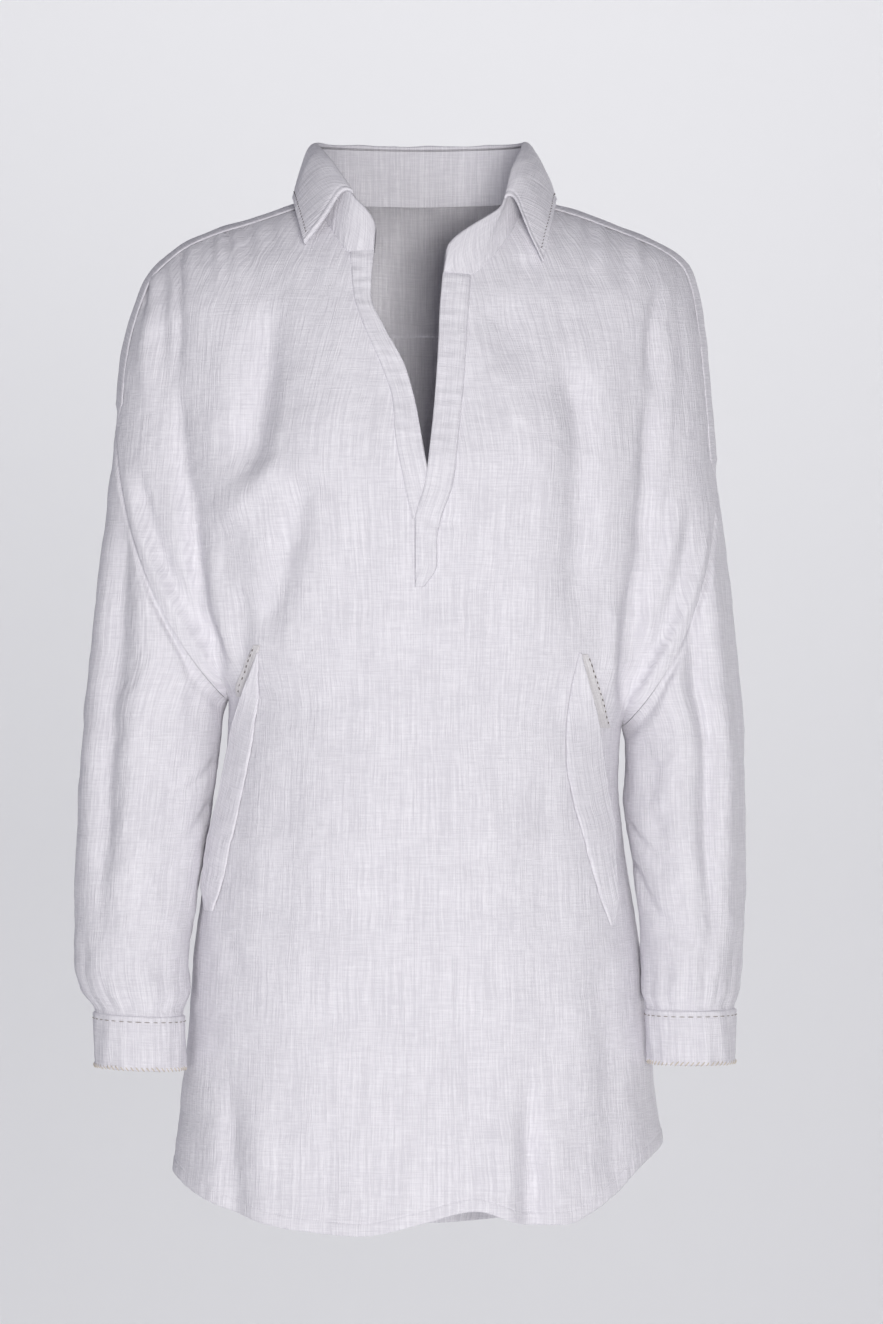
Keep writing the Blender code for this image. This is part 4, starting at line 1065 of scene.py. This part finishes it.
def yoke_piece(material):
    shares = np.concatenate([yoke_shares()[:-1], [0.996, 1.004, 1.01, 1.014, 1.016]])
    right, left = half_yoke(RIGHT, shares)[:, ::-1], half_yoke(LEFT, shares)[:, 1:]
    points = np.concatenate([right, left], axis=1)
    normals = grid_normals(points, -1)
    neck = NECK_BACK_COLUMNS // 2 * FINE
    middle = points.shape[1] // 2
    across, down = arc(points, 1), arc(points, 0)
    side = np.minimum(across, across[:, -1:] - across)
    height = crumple(across, down, 0.3, 12, 24, 60, 31) * smooth_step(side / 12) + seam_ridge(side)
    height += 1.2 * smooth_step((down[-1:] - down) / 1.2) * smooth_step(side / 6)
    height -= 0.6 * np.exp(-((down[-1:] - down - 6) / 1.2) ** 2)
    height *= smooth_step(side / 3)
    patches = []
    lips = [YOKE_LIP + 1.6, YOKE_LIP + 1.5, YOKE_LIP + 1.1, YOKE_LIP + 0.4, YOKE_LIP - 0.6, 2.2, 1.0]
    lip_lift = [0.0, 0.6, 0.95, 1.0, 1.0, 0.95, 0.9]
    for wearer_side, block in ((RIGHT, slice(None, middle - neck + 1)), (LEFT, slice(middle + neck, None))):
        lip = np.stack([on_skin(front_seam(wearer_side, at), FRONT) for at in lips])
        lip = lip[:, ::-1] if wearer_side == RIGHT else lip
        whole = np.concatenate([lip, points[:, block]])
        around = grid_normals(whole, -1)
        lift = np.array(lip_lift)[:, None] * smooth_step(side[:1, block] / 3)
        moved = whole + around * np.concatenate([lift, height[:, block]])[..., None]
        normals[:, block] = around[len(lips):]
        patches.append(moved)
    moved = points + normals * height[..., None]
    inner = slice(middle - neck, middle + neck + 1)
    flat = thread_map(moved)
    yoke = [(moved[:, inner], flat[:, inner])]
    for patch, block in zip(patches, (slice(None, middle - neck + 1), slice(middle + neck, None))):
        own = thread_map(patch)
        own += flat[0, block][None, [0]] - own[len(lips), [0]]
        yoke.append((patch, own))
    return make("yoke_panel", yoke, material, flip=True)


def arm_point(side, angle, z):
    """Point on an arm's section; the angle is 0 at the outer side and grows over the front."""
    centre, half_x, middle, half_y = arm_frame(side, z)
    return np.stack([side * (centre + half_x * np.cos(angle)), middle - half_y * np.sin(angle),
                     np.broadcast_to(z, np.shape(angle))], -1)


def cuff_z(side, angle, top):
    half_x = arm_frame(side, CUFF_TOP_Z[side])[1]
    return top + CUFF_TILT[side] * side * half_x * np.cos(angle)


def sleeve_piece(side, material):
    front_rows, back_rows = ARMHOLE_ROWS_FRONT * FINE, ARMHOLE_ROWS_BACK * FINE
    front = on_skin(armhole(side, np.linspace(ARMHOLE_START_FRONT, 1, front_rows + 1)), FRONT)
    back = on_skin(armhole(side, np.linspace(ARMHOLE_START_BACK, 1, back_rows + 1)), BACK)[::-1]
    yoke_end = half_yoke(side, yoke_shares())[:, -1][::-1]
    loop = np.concatenate([front, back[1:], yoke_end[1:]])
    centre, half_x, middle, half_y = arm_frame(side, loop[:, 2])
    lying = np.arctan2((middle - loop[:, 1]) / half_y, (loop[:, 0] * side - centre) / half_x)
    lying = np.where(lying < -0.01, lying + 2 * math.pi, lying)
    lying[front_rows], lying[-1] = math.pi, 2 * math.pi
    back_count = len(loop) - front_rows
    even = np.concatenate([math.pi * (np.arange(front_rows + 1) + 1) / (front_rows + 1),
                           math.pi * (1 + np.arange(1, back_count) / (back_count - 1))])
    first = arm_point(side, lying, loop[:, 2])
    last_z = cuff_z(side, even, CUFF_TOP_Z[side] - 3)
    rings, angles = [], []
    for t in np.linspace(0, 1, SLEEVE_RINGS * FINE + 1):
        angle = lying + (even - lying) * smooth_step(t / 0.6)
        z = loop[:, 2] + (last_z - loop[:, 2]) * t
        rings.append(arm_point(side, angle, z) + (loop - first) * (1 - t) ** 5)
        angles.append(angle)
    points, angles = np.stack(rings), np.stack(angles)
    points[0] = loop
    points = np.concatenate([points[:, -1:], points], axis=1)
    angles = np.concatenate([angles[:, -1:] - 2 * math.pi, angles], axis=1)
    normals = grid_normals(points, -side, around=True)
    down = arc(points, 0)
    to_cuff = down[-1:] - down
    height = sleeve_crease_height(side, angles, points[..., 2])
    around = 60 * np.cos(angles) + 40 * np.sin(2 * angles)
    height += crumple(around, points[..., 2], 0.45, 14, 26, 70, 41 + side)
    height += crumple(around + 30, points[..., 2], 0.14, 12, 9, 20, 51 + side)
    height[:, 0] = height[:, -1]
    on_front = smooth_step(np.sin(angles) * 3) * smooth_step((UNDERARM_BEND - np.degrees(angles)) / 20)
    height = height * smooth_step(down / 16) * smooth_step(to_cuff / 5)
    height -= ARMHOLE_TROUGH * on_front * np.exp(-((down - 7) / 6) ** 2)
    points = points + normals * height[..., None]
    points[:, 0] = points[:, -1]
    flat = np.stack([angles * 58, points[..., 2]], -1) * MM
    return make("sleeve_cloth_" + SIDE_NAME[side], [(points, flat)], material, flip=side == LEFT)


def cuff_piece(side, cloth, thread_line, thread_edge):
    angle = np.linspace(0, 2 * math.pi, CUFF_COLUMNS)
    rows = rim_steps(CUFF_HEIGHT, 26, 1.6)
    base = np.stack([arm_point(side, angle, cuff_z(side, angle, CUFF_TOP_Z[side] - drop * CUFF_HEIGHT))
                     for drop in rows])
    base[:, -1] = base[:, 0]
    normals = grid_normals(base, -side, around=True)
    normals[:, -1] = normals[:, 0]
    around = arc(base, 1)
    down = arc(base, 0)
    total = around[:, -1:]
    turn = 2 * math.pi * around / total
    extra = 0.35 * np.sin(7 * turn + 1) * np.sin(down / 9) + 0.25 * np.sin(13 * turn + 2 + down / 14)
    extra += 0.3 * np.cos(turn * 58) * np.exp(-((CUFF_HEIGHT - down) / 3.5) ** 2)
    groove = -0.5 * np.exp(-((down - 5) / 1.1) ** 2) - 0.4 * np.exp(-((CUFF_HEIGHT - 5 - down) / 1.4) ** 2)
    name = SIDE_NAME[side]
    patches = pillow(base - normals * 0.5, normals, 2.3, 1.6, extra + groove, around=True)
    cuff = make("cuff_cloth_" + name, patches, cloth, flip=side == LEFT)
    line = base + normals * 2.0
    row = int(np.argmin(np.abs(rows * CUFF_HEIGHT - 4.6)))
    places, ways = dashes(line[row], CUFF_TOP_STITCH.spacing)
    outs = places - places.mean(axis=0)
    outs[:, 2] = 0
    top = stitches("stitches_cuff_top_" + name, places, ways, outs, CUFF_TOP_STITCH, thread_line)
    row = int(np.argmin(np.abs(rows * CUFF_HEIGHT - (CUFF_HEIGHT - 1.7))))
    places, ways = dashes(line[row] - np.array([0, 0, 0.3]), CUFF_EDGE_STITCH.spacing)
    outs = places - places.mean(axis=0)
    outs[:, 2] = 0
    ways = ways / np.linalg.norm(ways, axis=1)[:, None] + np.array([0, 0, -1.1])
    low = stitches("stitches_cuff_edge_" + name, places, ways, outs, CUFF_EDGE_STITCH, thread_edge)
    return cuff, [top, low]


def front_band_lines():
    """Edge and seam of the upper band, down to the end of its tail."""
    edge, seam = slit_edge("left_edge", SLIT_ROWS), slit_edge("left_seam", SLIT_ROWS)
    seam[:, 0] += BAND_OVERLAP
    edge[0][1] += BAND_OVERLAP
    tail_z = np.linspace(SLIT_BOTTOM_Z, TAIL_BOTTOM_Z, 4)[1:]
    tail_edge = np.stack([np.full(3, SLIT_BOTTOM[0] + TAIL_INSET), tail_z], -1)
    tail_seam = np.stack([SLIT_BOTTOM[0] + np.array([TAIL_WIDTH, TAIL_WIDTH, TAIL_WIDTH_LOW]), tail_z], -1)
    return np.concatenate([edge, tail_edge]), np.concatenate([seam, tail_seam])


def band_puckers(points, depth, top, bottom, seed):
    """Small uneven creases across a band where its stitches pull, between two heights."""
    draw = np.random.default_rng(seed)
    z = points[..., 1]
    across = np.linspace(0, 1, points.shape[1])[None]
    total = np.zeros(z.shape)
    at = top - 3.0
    while at > bottom:
        middle, reach, half = draw.uniform(0.25, 0.6), draw.uniform(0.25, 0.6), draw.uniform(1.5, 2.8)
        tilt = draw.uniform(-4, 4)
        here = np.exp(-((z - at - tilt * (across - middle)) / half) ** 2)
        total += draw.uniform(0.3, 1.0) * here * np.exp(-((across - middle) / reach) ** 2)
        at -= draw.uniform(5.5, 11.5)
    return depth * (total - 0.35) * smooth_step((top - z) / 10) * smooth_step((z - bottom) / 25)


def right_band(material):
    outer = centre_edge(RIGHT, SLIT_ROWS * FINE)[:SLIT_ROWS * FINE + 1]
    inner = slit_edge("right_edge", SLIT_ROWS * FINE)
    inner[-1] = (SLIT_BOTTOM[1], SLIT_BOTTOM_Z)
    outer[:, 0] -= 1.5
    grid = lying_grid(outer, inner, 12, 1.6)
    across = np.linspace(0, 1, grid.shape[1])[None]
    base, normals = place(grid, FRONT, 0.2 - 1.2 * (1 - smooth_step(across * 3)))
    extra = band_puckers(grid, 1.3, -30, -200, 71)
    return make("placket_band_right", pillow(base, normals, 1.5, 1.6, extra), material)


def left_band(material):
    edge, seam = front_band_lines()
    grid = lying_grid(edge, seam, 12, 1.6)
    across = np.linspace(0, 1, grid.shape[1])[None]
    under_stand = smooth_step(1 - (grid[:1, :1, 1] - grid[..., 1]) / 9)
    lift = 0.6 + 1.4 * smooth_step((1 - across) * 1.4) - 1.5 * smooth_step(across * 3 - 2)
    base, normals = place(grid, FRONT, lift - 2.2 * under_stand)
    extra = band_puckers(grid, 1.5, -36, -215, 72)
    extra -= 0.8 * np.exp(-((grid[..., 1] - SLIT_BOTTOM_Z) / 1.6) ** 2)
    return make("placket_band_left", pillow(base, normals, 1.6, 1.8, extra), material)


def coarse_neckline():
    """The 15 points of the neckline that match the collar's stations, with both front ends."""
    fine = NECK_FRONT_COLUMNS * FINE
    right = on_skin(front_top(RIGHT)[:fine + 1:FINE], FRONT)
    left = on_skin(front_top(LEFT)[:fine + 1:FINE], FRONT)
    right_end = on_skin(slit_edge("right_edge", SLIT_ROWS)[:1], FRONT)
    left_end = on_skin(slit_edge("left_edge", SLIT_ROWS)[:1], FRONT)
    left_end[:, 1] -= 2
    left_end[:, 2] += STAND_FRONT_OVERLAP
    neck = slice(None, NECK_BACK_COLUMNS // 2 * FINE + 1, FINE)
    back_right, back_left = half_yoke(RIGHT, [0])[0, neck], half_yoke(LEFT, [0])[0, neck]
    return np.concatenate([right_end, right, back_right[::-1], back_left[1:], left[::-1], left_end])


def smooth_line(points, count):
    key = np.arange(len(points)) / (len(points) - 1)
    return np.stack([through(key, points[:, k], np.linspace(0, 1, count)) for k in range(3)], -1)


def stand_piece(material):
    low = coarse_neckline()
    roll = np.array([(row.roll_x, row.roll_y, row.roll_z) for row in COLLAR], float)
    high = np.concatenate([[low[0] + (2, 0, 26)], roll, [low[-1] + (3, 0, 25)]])
    low = low + np.array([0, 0, -2.0])
    low, high = smooth_line(low, STAND_COLUMNS), smooth_line(high, STAND_COLUMNS)
    length = arc(low[None], 1)[0]
    from_end = np.minimum(length, length[-1] - length)
    corner = 11 * (1 - rounded(from_end / 13))
    rise = np.linalg.norm(high - low, axis=1)
    share = rim_steps(30, 14, 1.6)
    base = low[None] + (high - low)[None] * (share[:, None] * (1 - corner / rise)[None])[..., None]
    bulge = np.sin(math.pi * share)[:, None] * 1.6
    base = base[::-1]
    normals = grid_normals(base, -1)
    height = arc(base, 0)
    height = height[-1:] - height
    wave = np.sin(2 * math.pi * length / 11 + 1.2 * np.sin(length / 31))[None]
    near = np.exp(-((height - 7) / 5) ** 2) * np.exp(-(from_end[None] / 55) ** 2)
    extra = bulge[::-1] + 0.4 * wave * near
    return make("collar_stand_cloth", pillow(base - normals * 0.6, normals, 2.0, 1.6, extra), material,
                flip=True)


def leaf_piece(material):
    key = np.arange(len(COLLAR)) / (len(COLLAR) - 1)
    at = np.linspace(0, 1, LEAF_COLUMNS)
    read = {name: through(key, [getattr(row, name) for row in COLLAR], at)
            for name in ("roll_x", "roll_y", "roll_z", "edge_x", "edge_z")}
    roll = np.stack([read["roll_x"], read["roll_y"], read["roll_z"]], -1)
    under = [float(skin(row.edge_x, row.edge_z, row.face)) + row.face * COLLAR_CLEARANCE for row in COLLAR]
    edge = np.stack([read["edge_x"], through(key, under, at), read["edge_z"] + COLLAR_CLEARANCE], -1)
    out = edge - roll
    out[:, 2] = 0
    out /= np.linalg.norm(out, axis=1)[:, None]
    start = roll + out * LEAF_START.out + np.array([0, 0, LEAF_START.up])
    bend = start + out * LEAF_BEND.out + np.array([0, 0, LEAF_BEND.up])
    share = rim_steps(45, 34, 1.6)
    base = np.stack([(1 - t) ** 2 * start + 2 * t * (1 - t) * bend + t * t * edge for t in share])
    across, down = arc(base, 1), arc(base, 0)
    total = across[:, -1:]
    # the front edges curve out near the tip and in near the roll line
    along = np.gradient(base, axis=1)
    along /= np.linalg.norm(along, axis=-1)[..., None]
    sway = 3.2 * np.sin(2 * math.pi * share)[:, None]
    near_ends = np.exp(-(across / 16) ** 2) - np.exp(-((total - across) / 16) ** 2)
    base = base + along * (sway * near_ends)[..., None]
    normals = grid_normals(base, -1)
    turn = across / total
    extra = 0.9 * np.sin(17 * turn + 0.6) * smooth_step(down / 25) + 0.35 * np.sin(47 * turn + 2)
    extra += crumple(across, down, 0.35, 12, 20, 55, 61)
    to_edge = down[-1:] - down
    extra -= 0.5 * np.exp(-((to_edge - 5) / 1.2) ** 2)
    to_front = np.minimum(across, total - across)
    extra -= 0.5 * np.exp(-((to_front - 5) / 1.2) ** 2)
    patches = pillow(base, normals, 2.2, 1.6, extra)
    leaf = make("collar_leaf", patches, material, flip=True)
    return leaf, patches[0][0], normals


def leaf_stitches(top, normals, material):
    """Slanted whip stitches near the leaf's outer edge, on the row of its grid beside the rim."""
    row = -7
    line = top[row] + normals[row] * 0.15
    places, ways = dashes(line[6:-6], COLLAR_STITCH.spacing)
    nearest = np.argmin(np.linalg.norm(line[None] - places[:, None], axis=2), axis=1)
    outs = normals[row][nearest]
    ways = np.cross(ways, outs) / np.linalg.norm(ways, axis=1)[:, None] + 0.7 * ways
    return stitches("stitches_collar_edge", places, ways, outs, COLLAR_STITCH, material)


def welt_piece(side, material):
    table = WELT[side]
    grid = lying_grid([(row.seam, row.z) for row in table], [(row.edge, row.z) for row in table], 12, 1.4)
    across = np.linspace(0, 1, grid.shape[1])[None]
    z = grid[..., 1]
    ends = smooth_step((table[0].z - z) / 25) * smooth_step((z - table[-1].z) / 25)
    base, normals = place(grid, FRONT, 0.4 + WELT_MOUTH * ends * smooth_step(across))
    return make("pocket_welt_cloth_" + SIDE_NAME[side], pillow(base, normals, 1.5, 1.4), material,
                flip=side == RIGHT)


def facing_piece(side, material):
    table = FACING[side]
    grid = lying_grid([(row.inner - side * FACING_TUCK, row.z) for row in table],
                      [(row.outer, row.z) for row in table], 8, 1.0)
    base, normals = place(grid, FRONT, 0.3)
    return make("pocket_facing_cloth_" + SIDE_NAME[side], pillow(base, normals, 0.7, 1.0), material,
                flip=side == RIGHT)


def lying_stitches(name, path, stitch, material, lift):
    """Running stitches along a path of (x, z) over the front."""
    fine = resample(path, max(2, int(np.linalg.norm(np.diff(path, axis=0), axis=1).sum() / stitch.spacing)))
    points, normals = place(fine, FRONT, lift)
    ways = np.gradient(points, axis=0)
    ways /= np.linalg.norm(ways, axis=1)[:, None]
    keep = slice(1, -1)
    return stitches(name, points[keep], ways[keep], normals[keep], stitch, material)


def soft_light(name, place_at, aim, size, power, colour):
    data = bpy.data.lights.new(name, "AREA")
    data.shape, data.size, data.size_y = "RECTANGLE", size[0], size[1]
    data.energy, data.color = power, colour
    lamp = bpy.data.objects.new(name, data)
    bpy.context.scene.collection.objects.link(lamp)
    lamp.location = place_at
    way = np.array(aim, float) - np.array(place_at, float)
    yaw, pitch = math.atan2(way[1], way[0]), math.atan2(way[2], math.hypot(way[0], way[1]))
    lamp.rotation_euler = (math.pi / 2 + pitch, 0, yaw - math.pi / 2)
    return lamp


def studio():
    """Pale floor that curves up into a far wall, soft light, and the camera."""
    turn = np.linspace(0, math.pi / 2, 24)
    bend = [(WALL_Y - BEND_RADIUS + BEND_RADIUS * math.sin(a), FLOOR_Z + BEND_RADIUS * (1 - math.cos(a)))
            for a in turn]
    profile = [(-STUDIO_HALF, FLOOR_Z)] + bend + [(WALL_Y, WALL_TOP_Z)]
    corners = [(x, y, z) for y, z in profile for x in (-STUDIO_HALF, STUDIO_HALF)]
    faces = [(2 * i, 2 * i + 1, 2 * i + 3, 2 * i + 2) for i in range(len(profile) - 1)]
    mesh = bpy.data.meshes.new("backdrop")
    mesh.from_pydata(corners, [], faces)
    mesh.shade_smooth()
    paper = bpy.data.materials.new("backdrop_paper")
    paper.use_nodes = True
    shader = paper.node_tree.nodes["Principled BSDF"]
    shader.inputs["Base Color"].default_value = (*BACKDROP, 1)
    shader.inputs["Roughness"].default_value = 1.0
    shader.inputs["Specular IOR Level"].default_value = 0.0
    mesh.materials.append(paper)
    backdrop = bpy.data.objects.new("backdrop", mesh)
    bpy.context.scene.collection.objects.link(backdrop)
    world = bpy.data.worlds.new("studio")
    world.use_nodes = True
    sky = world.node_tree.nodes["Background"]
    sky.inputs["Color"].default_value = (*WORLD_COLOUR, 1)
    sky.inputs["Strength"].default_value = WORLD_POWER
    bpy.context.scene.world = world
    [soft_light(*row) for row in LIGHTS]
    data = bpy.data.cameras.new("camera")
    data.sensor_fit, data.sensor_height, data.lens = "VERTICAL", SENSOR_HEIGHT, CAMERA_LENS
    camera = bpy.data.objects.new("camera", data)
    bpy.context.scene.collection.objects.link(camera)
    camera.location, camera.rotation_euler = CAMERA_PLACE, (math.pi / 2, 0, 0)
    bpy.context.scene.camera = camera
    bpy.context.scene.view_settings.view_transform = "Standard"
    bpy.context.scene.view_settings.look = "None"


def main():
    white = linen("linen_white", LINEN_LIGHT, LINEN_DARK)
    # a darker copy of the linen for the pocket facings: painted shade of the pocket mouth
    painted_shade_facing_cloth = linen("linen_pocket_facing_painted_shade", FACING_SHADED_LIGHT, FACING_SHADED_DARK)
    threads = {name: thread("thread_" + name, colour) for name, colour in THREADS.items()}

    pieces = {"front": (front_piece(white), []), "back": (back_piece(white), []),
              "yoke": (yoke_piece(white), [])}
    for side in (RIGHT, LEFT):
        name = SIDE_NAME[side]
        pieces["sleeve_" + name] = (sleeve_piece(side, white), [])
        pieces["cuff_" + name] = cuff_piece(side, white, threads["grey"], threads["beige"])
        pieces["pocket_welt_" + name] = (welt_piece(side, white), [])
        path = [(row.outer + (row.inner - row.outer) * PICK_SHARE[side], row.z) for row in FACING[side]]
        sewn = lying_stitches("stitches_pocket_" + name, path, POCKET_STITCH, threads["brown"], PICK_LIFT)
        pieces["pocket_facing_" + name] = (facing_piece(side, painted_shade_facing_cloth), [sewn])
    pieces["placket_right"] = (right_band(white), [])
    pieces["placket_left"] = (left_band(white), [])
    pieces["collar_stand"] = (stand_piece(white), [])
    leaf, top, normals = leaf_piece(white)
    pieces["collar"] = (leaf, [leaf_stitches(top, normals, threads["dark"])])

    for node, (thing, extra) in pieces.items():
        wear(thing, [node])
    studio()


main()
